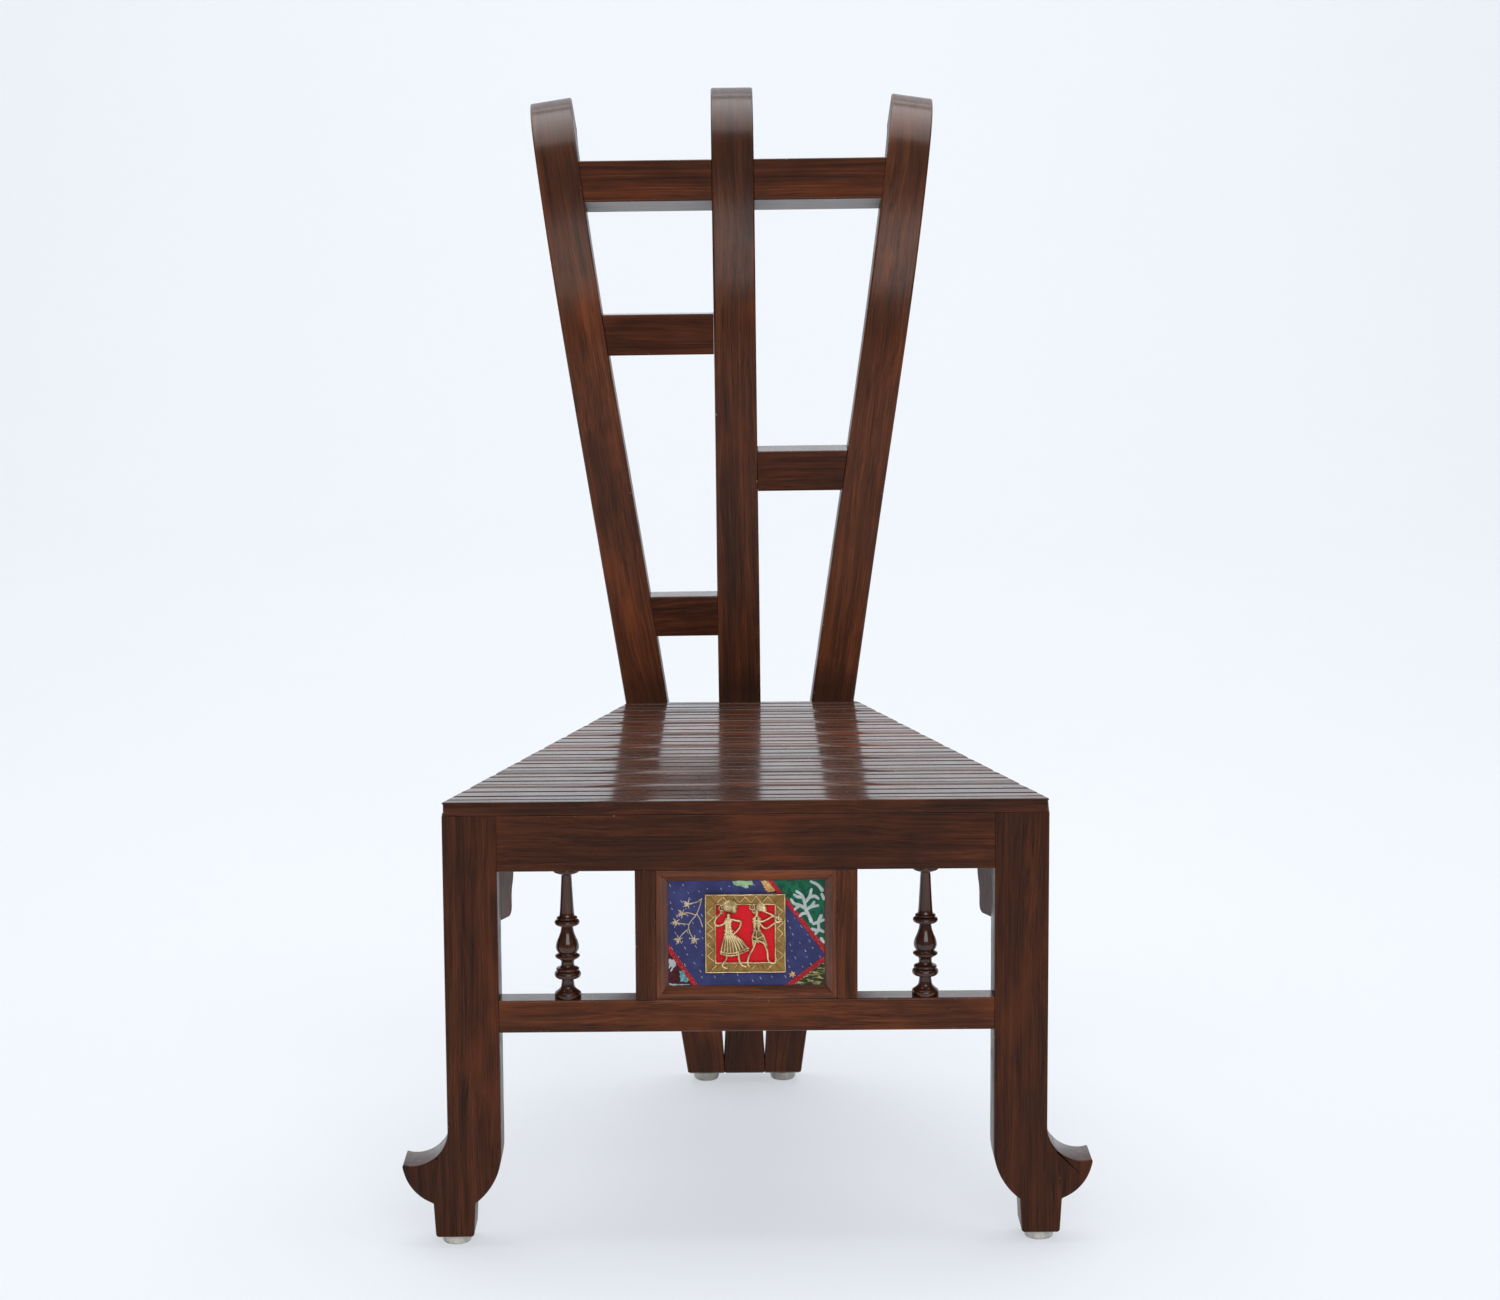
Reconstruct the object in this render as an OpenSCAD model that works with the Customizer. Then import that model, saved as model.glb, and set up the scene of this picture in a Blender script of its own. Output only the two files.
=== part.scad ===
// Slipper chair in dark polished rosewood: a low seat of eight reeded slats that narrows to the
// back, two front legs with curled toes, an inset picture panel between turned spindles, and a
// back of three posts that spread like a fan and roll backwards at the top.
// Millimetres, +Z up. The origin is on the floor, in the middle of the chair's width and depth.
// The pieces are laid out from the front face of the legs, and moved to the origin at the end.

/* [Overall] */
// Width across the outer faces of the front legs
front_w = 560; // [500:1:620]
// Width of the seat where it meets the back posts
back_w = 248; // [220:1:300]
// Height of the middle back post above the floor, which is the chair's full height
chair_h = 1086; // [1060:1:1130]
// Height of the top of the seat above the floor
seat_h = 426; // [400:1:460]
// Depth of the seat, from the front of the legs to the front of the back posts
seat_d = 495; // [440:1:540]
// Clearance round a tenon, dowel or nail in its hole
fit = 0.1; // [0.05:0.05:0.3]
// Room left for glue at the end of a mortise
glue_room = 1; // [0.5:0.5:2]

/* [Front legs] */
// Width of a front leg, seen from the front
leg_w = 50; // [42:1:60]
// Thickness of a front leg, from front to back
leg_d = 42; // [34:1:48]
// Radius of the round underside of the toe
toe_r = 44; // [38:0.5:48]
// How far the middle of that round lies inside the outer face of the leg
toe_mid_in = 1; // [0:0.5:4]
// Height of the middle of that round above the floor
toe_mid_z = 84.5; // [78:0.5:92]
// Radius of the hollow between the leg and the toe's tip
hollow_r = 33; // [24:1:40]
// Height at which the outer face of the leg starts to curve out
hollow_start = 113; // [105:1:125]
// Radius of the curve on the inner side of the leg's foot
heel_r = 62; // [50:1:80]
// Height at which the inner face of the leg starts to curve
heel_start = 92.5; // [85:0.5:105]
// Width of the small block under the curl
block_w = 39; // [32:1:42]
// How far the block lies beyond the outer face of the leg
block_out = 14; // [10:0.5:18]
// How much the block narrows on each side towards the floor
block_taper = 1.5; // [0:0.5:4]
// Radius of the block's lower corners
block_corner_r = 3; // [1:0.5:5]

/* [Front frame] */
// Height of the apron under the seat
apron_h = 53; // [45:1:65]
// Thickness of the apron
apron_d = 28; // [24:1:32]
// Height of the lower rail's underside above the floor
lower_rail_z = 207; // [190:1:220]
// Height of the lower rail itself
lower_rail_h = 30.5; // [26:0.5:36]
// Thickness of the lower rail
lower_rail_d = 27; // [26:1:34]
// Length of the tenons on the apron and the lower rail
front_tenon_l = 20; // [14:1:26]
// Thickness of every tenon in the front frame and the seat frame
tenon_t = 10; // [8:0.5:12]
// How far a tenon lies behind the front face of its rail
tenon_y = 9; // [6:0.5:10]
// How much lower a tenon is than its rail, above and below
tenon_step = 5; // [3:0.5:7]

/* [Panel] */
// Width over the two stiles of the panel
panel_w = 206; // [180:1:230]
// Width of a stile
stile_w = 19; // [16:0.5:25]
// Thickness of a stile
stile_d = 22; // [20:1:26]
// Length of the stub tenons of a stile
stub_l = 10; // [6:1:14]
// Width of the mitred strips round the picture
strip_w = 11.3; // [9:0.1:14]
// Width of the flat front of a strip, outside its bevel
strip_flat = 5; // [3:0.5:7]
// Depth of a strip from front to back
strip_d = 7.2; // [6.4:0.1:10]
// Thickness of a strip at the thin end of its bevel
strip_thin = 1; // [0.6:0.1:2]
// How far the strips stand behind the front of the stiles
strip_setback = 1; // [0.5:0.5:2]
// Thickness of the patchwork cloth
cloth_t = 0.8; // [0.6:0.1:1.2]
// Thickness of the board behind the cloth
board_t = 6; // [4:0.5:8]

/* [Brass plate] */
// Width of the square brass plate
plate_w = 75; // [70:1:80]
// How far the plate sits left of the middle, as it was set in by hand
plate_left = 1; // [0:0.5:3]
// Width of the plate's border
plate_border = 10.4; // [8:0.1:12]
// Thickness of the plate's border
plate_t = 2.5; // [2:0.1:3.2]
// Height of the zigzag wire on the border
zigzag_h = 0.5; // [0.3:0.1:0.8]
// Width of the zigzag wire
zigzag_w = 1; // [0.6:0.1:1.4]
// Number of teeth of the zigzag on each side
zigzag_teeth = 9; // [6:1:12]
// Thickness of the figures' cast limbs
limb_t = 1.6; // [1.2:0.1:2]
// Thickness of the figures' bodies and heads
body_t = 2.2; // [1.8:0.1:2.4]
// Thickness of the red felt behind the figures
felt_t = 0.8; // [0.5:0.1:1]
// How far the felt's edge lies inside the plate's edge
felt_inset = 1; // [0.5:0.5:6]

/* [Spindles] */
// Radius of the round base of a spindle
spindle_base_r = 12.4; // [11:0.1:13]
// Radius of the collar at the top of a spindle
spindle_collar_r = 11.8; // [10:0.1:13]
// Radius of the double ring above the base
spindle_ring_r = 12.5; // [11:0.1:13]
// Radius of the vase in the middle
spindle_vase_r = 10.8; // [9:0.1:12]
// Radius of the necks between the rings
spindle_neck_r = 6.2; // [4.5:0.1:7]
// Radius of the shaft at its thick lower end
spindle_shaft_r = 6.9; // [6:0.1:8]
// Radius of the shaft at its thin upper end
spindle_thin_r = 4.7; // [4:0.1:6]
// Radius of the pins at the ends
spindle_pin_r = 4; // [3:0.5:4.5]
// Length of the pins at the ends
spindle_pin_l = 10; // [6:1:14]

/* [Seat] */
// Number of slats
slat_count = 8; // [7:1:9]
// Thickness of a slat
slat_t = 13; // [12:0.5:16]
// Gap between two slats, and behind the last one
slat_gap = 0.5; // [0.3:0.1:2]
// Length of the rounded nose along the front of a slat
nose_l = 13; // [8:0.5:16]
// How far the nose drops
nose_drop = 3.5; // [2:0.5:5]
// How far the nose of the front slat drops, over the apron
front_nose_drop = 1; // [0.5:0.1:2]
// Radius of a slat's rear edge
slat_edge_r = 2; // [1:0.5:3]
// Width of each sunk groove on a slat
groove_w = 5; // [4:0.5:7]
// Depth of each sunk groove
groove_h = 1.5; // [1:0.1:2.2]
// Distance of the front groove's middle from the front of its slat
front_groove = 28.5; // [22:0.5:30]
// Distance of the rear groove's middle from the rear of its slat
rear_groove = 10; // [8:0.5:14]
// Length of the cut corners at a slat's ends
slat_corner = 4; // [2:0.5:6]

/* [Seat frame] */
// Height of the side rails and of the rear seat rail
side_rail_h = 53; // [45:1:60]
// Thickness of a side rail
side_rail_t = 22; // [18:1:26]
// How far the side rails lie inside the seat's edge
side_inset = 6; // [4:1:10]
// Thickness of the rear seat rail
rear_rail_t = 28; // [24:1:32]
// Width of the bearer under the middle of the slats
bearer_w = 22; // [18:1:30]
// Height of the bearer
bearer_h = 40; // [34:1:44]
// Length of the tenons on the side rails
side_tenon_l = 13; // [10:0.5:15]
// Length of the stub tenons on the bearer and the rear seat rail
stub_tenon_l = 8; // [6:1:10]
// Length of a bracket along its side rail
bracket_l = 90; // [75:1:105]
// Depth of the straight lip at the far end of a bracket
bracket_lip = 3; // [1:0.5:5]
// Length over which a bracket's curve runs out into the lip
bracket_runout = 12; // [6:1:18]
// Length of a bracket at its narrow waist
bracket_waist = 46; // [40:1:56]
// Height of that waist below the side rail
bracket_waist_z = 50; // [42:1:54]
// Height of a bracket under a side rail
bracket_h = 64; // [60:1:70]
// Height of a bracket where it meets the leg
bracket_leg_h = 58; // [50:1:64]
// Thickness of a bracket
bracket_t = 20; // [16:1:22]
// Radius of the round lower corner of a bracket
bracket_round = 7; // [4:1:10]

/* [Back posts] */
// Width of a post, seen from the front
post_w = 45; // [40:1:50]
// Thickness of a post, from front to back
post_d = 38; // [36:1:46]
// Angle between an outer post and the middle one
splay = 8.43; // [7.5:0.01:9.5]
// Lean of the whole back to the left, as the chair was set up by hand
fan_tilt = 0.4; // [0:0.05:1]
// Height up to which the outer posts are planed to lie against the middle one
meet_h = 52; // [46:1:60]
// Length over which a post bows forward
bow_l = 260; // [220:1:290]
// Forward lean at the end of the bow, in degrees
bow_lean = 6.3; // [3:0.1:8]
// Length over which a post comes upright again
upright_l = 130; // [110:1:150]
// Length over which a post sweeps back
sweep_l = 210; // [190:1:230]
// Backward lean at the end of the sweep, in degrees
sweep_lean = 28; // [24:1:34]
// Length of the rolled top along its front face
scroll_l = 101; // [90:1:110]
// Backward lean at the very top, in degrees
scroll_lean = 82; // [70:1:85]
// Radius of the rounded top edges
scroll_edge_r = 9; // [4:0.5:12]

/* [Back rails] */
// Height of the middle and lower back rails
back_rail_h = 43.5; // [36:0.5:50]
// Height of the two top rails
top_rail_h = 47; // [40:0.5:54]
// Thickness of the back rails
back_rail_d = 32; // [30:1:36]
// How far the middle of the top rails lies below the top of the chair
top_rail_down = 99; // [85:1:125]
// Height of the middle of the upper rail on the left above the seat
upper_left_up = 399; // [370:1:430]
// Height of the middle of the rail on the right above the seat
right_up = 251; // [210:1:290]
// Height of the middle of the lower rail on the left above the seat
lower_left_up = 94; // [70:1:130]
// Length of the tenons on the back rails
back_tenon_l = 16; // [12:1:18]
// Thickness of the tenons on the back rails
back_tenon_t = 12; // [10:1:14]

/* [Glides and pins] */
// Radius of a floor glide at its top
glide_r = 15; // [13:0.5:16]
// Radius of a floor glide near the floor
glide_low_r = 13.5; // [12:0.5:15]
// Height of a floor glide
glide_h = 10.5; // [8:0.5:12]
// Width of the round edge at the bottom of a glide
glide_edge = 2; // [1:0.5:3]
// Radius of the nail that holds a glide
glide_nail_r = 1.5; // [1:0.1:2]
// Length of the glide's nail inside the wood
glide_nail_l = 20; // [14:1:24]
// Radius of a slat dowel
slat_dowel_r = 3; // [2:0.5:4]
// How far a slat dowel stands up into its slat
slat_dowel_up = 8; // [6:0.5:9]
// How far a slat dowel goes down into the frame
slat_dowel_down = 14; // [10:1:20]
// Distance of a slat dowel from the front of its slat
slat_dowel_y = 18; // [16:0.5:22]

/* [Hidden] */
$fn = 64;
WOOD = "#43201a";
WOOD_LIGHT = "#5a2d1f";
WOOD_DARK = "#331814";
SLATS = [for (i = [1 : slat_count]) str("seat_slat_", i)];

// Derived sizes
frame_top = seat_h - slat_t;
apron_z = frame_top - apron_h;
lower_rail_top = lower_rail_z + lower_rail_h;
opening_h = apron_z - lower_rail_top;
opening_w = panel_w - 2 * stile_w;
leg_in = front_w / 2 - leg_w;
pitch = seat_d / slat_count;
slat_w = pitch - slat_gap;
block_in = block_out - block_w;
strip_back = strip_setback + strip_d;
plate_y = strip_back - felt_t - plate_t;
panel_mid_z = lower_rail_top + opening_h / 2;
spindle_x = (leg_in + panel_w / 2) / 2;
spindle_y = lower_rail_d / 2;
side_rail_z = frame_top - side_rail_h;
bearer_z = frame_top - bearer_h;
rear_rail_y = seat_d - rear_rail_t;
top_rail_z = chair_h - top_rail_down;
upper_left_z = seat_h + upper_left_up;
right_z = seat_h + right_up;
lower_left_z = seat_h + lower_left_up;
glide_front_x = front_w / 2 + block_out - block_w / 2;

// The outer posts stand so that they touch the middle one at meet_h.
post_half = post_w / 2 / cos(splay);
foot_x = post_w / 2 + post_half - meet_h * tan(splay);
function post_x(z) = foot_x + z * tan(splay);
glide_rear_x = (post_w / 2 + post_x(glide_h) + post_half) / 2;

// Front face of the curved part of a post seen from the side, as arcs that follow on from
// each other. A state is [y, z, lean], with the lean in degrees towards the back, and z here is
// measured from the top of the straight part.
function arc_point(s, lean, len) =
    let (turn = (lean - s[2]) * PI / 180, r = len / turn)
    [s[0] + r * (cos(s[2]) - cos(lean)), s[1] + r * (sin(lean) - sin(s[2])), lean];
function arc_steps(s, lean, len, n) =
    [for (i = [1 : n]) arc_point(s, s[2] + (lean - s[2]) * i / n, len * i / n)];
bow_state = [seat_d, 0, 0];
upright_state = arc_point(bow_state, -bow_lean, bow_l);
sweep_state = arc_point(upright_state, 0, upright_l);
scroll_state = arc_point(sweep_state, sweep_lean, sweep_l);
top_state = arc_point(scroll_state, scroll_lean, scroll_l);
post_path = concat([bow_state],
    arc_steps(bow_state, -bow_lean, bow_l, 6),
    arc_steps(upright_state, 0, upright_l, 5),
    arc_steps(sweep_state, sweep_lean, sweep_l, 9),
    arc_steps(scroll_state, scroll_lean, scroll_l, 14));
function behind(s, t) = [s[0] + t * cos(s[2]), s[1] - t * sin(s[2])];

// The top end of a post has two rounded edges, made as quarter circles between its faces.
function end_arc(t, a0, a1) =
    [for (i = [0 : 6]) let (a = a0 + (a1 - a0) * i / 6)
        let (along = scroll_edge_r * (sin(a) - 1), across = t + scroll_edge_r * cos(a))
        [top_state[0] + along * sin(scroll_lean) + across * cos(scroll_lean),
         top_state[1] + along * cos(scroll_lean) - across * sin(scroll_lean)]];
kept = [for (s = post_path)
    if (norm([s[0] - top_state[0], s[1] - top_state[1]]) > scroll_edge_r + 1) s];
curved_outline = concat(
    [for (s = kept) [s[0], s[1]]],
    end_arc(scroll_edge_r, 180, 90),
    end_arc(post_d - scroll_edge_r, 90, 0),
    [for (i = [len(kept) - 1 : -1 : 0]) behind(kept[i], post_d)]);

// The straight part takes what is left of the chair's height.
straight_h = chair_h - max([for (p = curved_outline) p[1]]);
post_outline = concat([[seat_d, 0]], [for (p = curved_outline) p + [0, straight_h]],
    [[seat_d + post_d, 0]]);
function face_y(z) = lookup(z - straight_h, [for (s = post_path) [s[1], s[0]]]);
function face_lean(z) = lookup(z - straight_h, [for (s = post_path) [s[1], s[2]]]);

// The chair's depth runs from the front of the legs to the rearmost point of the rolled tops.
rear_y = max([for (p = post_outline) p[0]]);
mid_y = rear_y / 2;

// Side edge of the seat, from the outer face of a front leg to the back
function edge_x(side, y) = side * (front_w + (back_w - front_w) * y / seat_d) / 2;
edge_angle = atan((front_w - back_w) / 2 / seat_d);
function rail_line(side, y, inset) = edge_x(side, y) - side * inset / cos(edge_angle);
function rail_strip(side, y0, y1, from, to) =
    [[rail_line(side, y0, from), y0], [rail_line(side, y1, from), y1],
     [rail_line(side, y1, to), y1], [rail_line(side, y0, to), y0]];
rail_mid = side_inset + side_rail_t / 2;
rail_in = side_inset + side_rail_t;

module at_home() { translate([0, -mid_y, 0]) children(); }
module in_fan() { rotate([0, -fan_tilt, 0]) children(); }
module beside(side) {
    if (side > 0) children();
    else mirror([1, 0, 0]) children();
}
module box_at(low, high) { translate(low) cube(high - low); }

// A prism whose outline is drawn in the X and Z directions and that runs from y0 to y1
module front_prism(points, y0, y1) {
    translate([0, y1, 0]) rotate([90, 0, 0]) linear_extrude(y1 - y0) polygon(points);
}

// A prism whose outline is drawn in the Y and Z directions and that runs from x0 to x1
module side_prism(points, x0, x1) {
    translate([x0, 0, 0]) rotate([90, 0, 90]) linear_extrude(x1 - x0) polygon(points);
}

// Front legs: u runs outwards from the outer face of the leg
toe_end = acos((block_out + toe_mid_in) / toe_r);
heel_mid_u = heel_r - leg_w;
heel_end = 180 + acos((heel_mid_u - block_in) / heel_r);
leg_outline = concat(
    [[-leg_w, frame_top], [0, frame_top]],
    [for (i = [0 : 8]) let (a = 180 + 105 * i / 8)
        [hollow_r * (1 + cos(a)), hollow_start + hollow_r * sin(a)]],
    [for (i = [0 : 9]) let (a = -7 - (toe_end - 7) * i / 9)
        [toe_r * cos(a) - toe_mid_in, toe_mid_z + toe_r * sin(a)]],
    [for (a = [0 : -30 : -90])
        [block_out - block_taper - block_corner_r * (1 - cos(a)),
         glide_h + block_corner_r * (1 + sin(a))]],
    [for (a = [-90 : -30 : -180])
        [block_in + block_taper + block_corner_r * (1 + cos(a)),
         glide_h + block_corner_r * (1 + sin(a))]],
    [for (i = [0 : 7]) let (a = heel_end + (180 - heel_end) * i / 7)
        [heel_mid_u + heel_r * cos(a), heel_start + heel_r * sin(a)]]);

module leg(side) {
    color(WOOD) difference() {
        beside(side) translate([front_w / 2, 0, 0]) front_prism(leg_outline, 0, leg_d);
        apron_tenons(fit);
        lower_rail_tenons(fit);
        side_rail_tenons(side, fit);
        slat_dowel_set([0], [side], fit);
        glide_nail([side * glide_front_x, leg_d / 2], fit);
    }
}

// Apron and lower rail, with a tenon at each end. A value for c grows a tenon into its mortise.
module rail_tenons(z, h, c) {
    reach = leg_in + front_tenon_l + (c > 0 ? glue_room : 0);
    box_at([-reach, tenon_y - c, z + tenon_step - c],
        [reach, tenon_y + tenon_t + c, z + h - tenon_step + c]);
}
module apron_tenons(c = 0) { rail_tenons(apron_z, apron_h, c); }
module lower_rail_tenons(c = 0) { rail_tenons(lower_rail_z, lower_rail_h, c); }

module apron() {
    color(WOOD) difference() {
        union() {
            box_at([-leg_in, 0, apron_z], [leg_in, apron_d, frame_top]);
            apron_tenons();
        }
        stile_stubs(-1, fit);
        stile_stubs(1, fit);
        spindle_pins(-1, fit);
        spindle_pins(1, fit);
        bearer_tenons(fit);
    }
}

module lower_rail() {
    color(WOOD) difference() {
        union() {
            box_at([-leg_in, 0, lower_rail_z], [leg_in, lower_rail_d, lower_rail_top]);
            lower_rail_tenons();
        }
        stile_stubs(-1, fit);
        stile_stubs(1, fit);
        spindle_pins(-1, fit);
        spindle_pins(1, fit);
    }
}

// Panel: stiles, mitred strips, board, cloth, felt and plate
module stile_stubs(side, c = 0) {
    stub_w = stile_w - 2 * tenon_step;
    more = stub_l + (c > 0 ? glue_room : 0);
    x0 = side * (panel_w - stile_w) / 2;
    box_at([x0 - stub_w / 2 - c, tenon_y - c, lower_rail_top - more],
        [x0 + stub_w / 2 + c, tenon_y + tenon_t + c, apron_z + more]);
}

module stile(side) {
    x0 = side * (panel_w - stile_w) / 2;
    color(WOOD) union() {
        box_at([x0 - stile_w / 2, 0, lower_rail_top], [x0 + stile_w / 2, stile_d, apron_z]);
        stile_stubs(side);
    }
}

// Section of a strip: depth first, then the distance from the edge of the opening
strip_section = [[0, 0], [0, strip_flat], [strip_d - strip_thin, strip_w], [strip_d, strip_w],
    [strip_d, 0]];

// One strip along X, on the lower side of an opening of the given size, cut at its mitres
module strip(w, h) {
    translate([0, strip_setback, -h / 2]) intersection() {
        side_prism(strip_section, -w / 2, w / 2);
        front_prism([[-w / 2, 0], [w / 2, 0], [w / 2 - strip_w, strip_w],
            [strip_w - w / 2, strip_w]], 0, strip_d);
    }
}

module panel_strip(turn) {
    upright = turn == 90 || turn == 270;
    color(WOOD_LIGHT) translate([0, 0, panel_mid_z]) rotate([0, turn, 0])
        strip(upright ? opening_h : opening_w, upright ? opening_w : opening_h);
}

module sheet_at(x, w, h, y, t) {
    box_at([x - w / 2, y, panel_mid_z - h / 2], [x + w / 2, y + t, panel_mid_z + h / 2]);
}
module patchwork_cloth() {
    color("#2b3563") sheet_at(0, opening_w - 2 * fit, opening_h - 2 * fit, strip_back, cloth_t);
}
module panel_board() {
    color(WOOD_DARK)
        sheet_at(0, opening_w - 2 * fit, opening_h - 2 * fit, strip_back + cloth_t, board_t);
}
module red_felt() {
    felt_w = plate_w - 2 * felt_inset;
    color("#d3202b") sheet_at(-plate_left, felt_w, felt_w, strip_back - felt_t, felt_t);
}

// A cast limb along points of the figures' drawing, as a ribbon with blunt ends
function heading(p, i) =
    let (d = p[min(i + 1, len(p) - 1)] - p[max(i - 1, 0)]) d / norm(d);
function ribbon_side(p, r) =
    [for (i = [0 : len(p) - 1]) let (d = heading(p, i)) p[i] + r * [-d[1], d[0]]];
module limb(p, r) {
    last = len(p) - 1;
    far = ribbon_side(p, -r);
    polygon(concat(ribbon_side(p, r), [p[last] + r * heading(p, last)],
        [for (i = [last : -1 : 0]) far[i]], [p[0] - r * heading(p, 0)]));
}

// The figures are drawn from the middle of the plate, in X and Z. They share the frame's back.
module cast(t) {
    translate([0, plate_t, 0]) rotate([90, 0, 0]) linear_extrude(t) children();
}

// Left figure: a dancer with a bent arm and a pleated skirt that swings out
module dancer() {
    cast(body_t) {
        translate([-12.5, 19.5]) circle(5.2, $fn = 24);
        polygon([[-17, 14.6], [-9, 14.4], [-8, 8], [-10.5, 2.4], [-16.5, 2.2], [-18.5, 8]]);
        limb([[-12.8, 15.5], [-12.6, 13]], 2);
    }
    cast(limb_t) {
        limb([[-16.5, 12.5], [-25, 7], [-24, 14.5], [-19.5, 19.5]], 1.5);
        limb([[-9, 12.5], [-3.5, 7], [-9.5, 2.5]], 1.5);
        translate([-20, 20.5]) circle(2.6, $fn = 20);
        polygon([[-17, 3], [-10, 3], [0.5, -13], [-3.5, -16.5], [-12, -17.6], [-21.5, -16]]);
        limb([[-16.5, -16], [-20.5, -22.5], [-17.5, -28.5]], 1.7);
        limb([[-7.5, -16.5], [-6.5, -23], [-9, -28.5]], 1.7);
    }
}

// Right figure: a musician who holds a pipe with both hands
module musician() {
    cast(body_t) {
        translate([13.5, 20.5]) circle(4.6, $fn = 24);
        polygon([[9, 14.8], [18, 14.6], [16.5, 6], [18.5, -1], [8.5, -1], [10.5, 6]]);
        limb([[13.3, 17], [13.2, 13.5]], 1.9);
    }
    cast(limb_t) {
        translate([8, 20]) circle(2.2, $fn = 20);
        limb([[17, 12.5], [22.5, 8.5], [25.5, 14]], 1.4);
        limb([[10, 12.5], [7.5, 6.5], [14, 9.5], [25.5, 14]], 1.4);
        limb([[16, 18.2], [27, 13.2]], 0.9);
        polygon([[8.5, 0], [18.5, 0], [21, -11], [15, -8.5], [10.5, -13], [5.5, -8]]);
        limb([[9.5, -8], [5.5, -18], [2, -28.5]], 1.8);
        limb([[17.5, -7], [18.5, -18.5], [22.5, -27.5], [28.5, -24.5]], 1.8);
    }
}

// Zigzag wire on one side of the border, drawn on the upper side
zigzag_reach = plate_w / 2 - plate_border;
zigzag_mid = plate_w / 2 - plate_border / 2;
zigzag_step = zigzag_reach / zigzag_teeth;
function zigzag_line(up) =
    [for (i = [0 : 2 * zigzag_teeth]) [(i - zigzag_teeth) * zigzag_step,
        zigzag_mid + plate_border * (i % 2 == 0 ? -0.25 : 0.25) + up]];
module zigzag() {
    upper = zigzag_line(zigzag_w / 2);
    lower = zigzag_line(-zigzag_w / 2);
    translate([0, zigzag_h, 0]) rotate([90, 0, 0]) linear_extrude(2 * zigzag_h)
        polygon(concat(upper, [for (i = [2 * zigzag_teeth : -1 : 0]) lower[i]]));
}

module brass_plate() {
    window = plate_w / 2 - plate_border;
    color("#9a7a3c") translate([-plate_left, plate_y, panel_mid_z]) union() {
        difference() {
            box_at([-plate_w / 2, 0, -plate_w / 2], [plate_w / 2, plate_t, plate_w / 2]);
            box_at([-window, -1, -window], [window, plate_t + 1, window]);
        }
        for (turn = [0 : 90 : 270]) rotate([0, turn, 0]) zigzag();
        dancer();
        musician();
    }
}

// Spindles: radius and height above the lower rail, from the base up. The turning is laid out
// in 49 equal parts of the spindle's length.
function bead(root, r, z, h) =
    [for (a = [-90 : 30 : 90]) [root + (r - root) * cos(a), z + h / 2 * sin(a)]];
function up(parts) = parts * opening_h / 49;
spindle_outline = concat(
    [[0, 0], [spindle_base_r, 0], [spindle_base_r, up(1.4)], [spindle_base_r - 3, up(2)],
     [spindle_neck_r, up(3.8)], [spindle_neck_r, up(4.4)]],
    bead(spindle_ring_r - 2, spindle_ring_r, up(6.5), up(2.3)),
    bead(spindle_ring_r - 2, spindle_ring_r, up(9), up(2.3)),
    [[spindle_neck_r, up(11)], [spindle_neck_r, up(12.4)],
     [spindle_ring_r - 0.5, up(13.7)], [spindle_ring_r - 0.5, up(14.2)],
     [spindle_neck_r + 1, up(15)]],
    [for (a = [-45 : 15 : 75]) [spindle_vase_r * cos(a * 0.9), up(18.5 + 5 * sin(a))]],
    [[spindle_neck_r - 1.2, up(24.2)], [spindle_neck_r - 1.2, up(25.4)]],
    bead(spindle_ring_r - 2.6, spindle_ring_r - 0.6, up(26.8), up(2)),
    bead(spindle_shaft_r + 0.5, spindle_shaft_r + 2.5, up(28.7), up(1.2)),
    [[spindle_shaft_r, up(29.6)], [spindle_thin_r, up(45.4)], [spindle_thin_r + 0.6, up(46.2)],
     [spindle_collar_r - 2, up(47)], [spindle_collar_r, up(47.4)],
     [spindle_collar_r, opening_h], [0, opening_h]]);

module spindle_pins(side, c = 0) {
    more = spindle_pin_l + (c > 0 ? glue_room : 0);
    translate([side * spindle_x, spindle_y, lower_rail_top - more])
        cylinder(h = opening_h + 2 * more, r = spindle_pin_r + c);
}
module spindle(side) {
    color(WOOD_DARK) union() {
        translate([side * spindle_x, spindle_y, lower_rail_top])
            rotate_extrude() polygon(spindle_outline);
        spindle_pins(side);
    }
}

// Seat slats: reeded section in Y and Z, cut to the slanting sides of the seat
function groove(y) = [[y - groove_w / 2, slat_t], [y - groove_w / 2 + 1, slat_t - groove_h],
    [y + groove_w / 2 - 1, slat_t - groove_h], [y + groove_w / 2, slat_t]];
function slat_section(drop) = concat(
    [[0, 0]],
    [for (a = [0 : 15 : 90]) [nose_l * (1 - cos(a)), slat_t - drop * (1 - sin(a))]],
    groove(front_groove),
    groove(slat_w - rear_groove),
    [for (a = [90 : -30 : 0])
        [slat_w - slat_edge_r * (1 - cos(a)), slat_t - slat_edge_r * (1 - sin(a))]],
    [[slat_w, 0]]);

function slat_plan(y0, y1) = [
    [edge_x(-1, y0) + slat_corner, y0], [edge_x(1, y0) - slat_corner, y0],
    [edge_x(1, y0 + slat_corner), y0 + slat_corner],
    [edge_x(1, y1 - slat_corner), y1 - slat_corner],
    [edge_x(1, y1) - slat_corner, y1], [edge_x(-1, y1) + slat_corner, y1],
    [edge_x(-1, y1 - slat_corner), y1 - slat_corner],
    [edge_x(-1, y0 + slat_corner), y0 + slat_corner]];

module slat(i) {
    y0 = i * pitch;
    section = slat_section(i == 0 ? front_nose_drop : nose_drop);
    color(i % 2 == 0 ? WOOD : WOOD_LIGHT) difference() {
        translate([0, 0, frame_top]) intersection() {
            translate([0, y0, 0]) side_prism(section, -front_w, front_w);
            linear_extrude(slat_t) polygon(slat_plan(y0, y0 + slat_w));
        }
        slat_dowel_set([i], [-1, 1], fit);
    }
}

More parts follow.
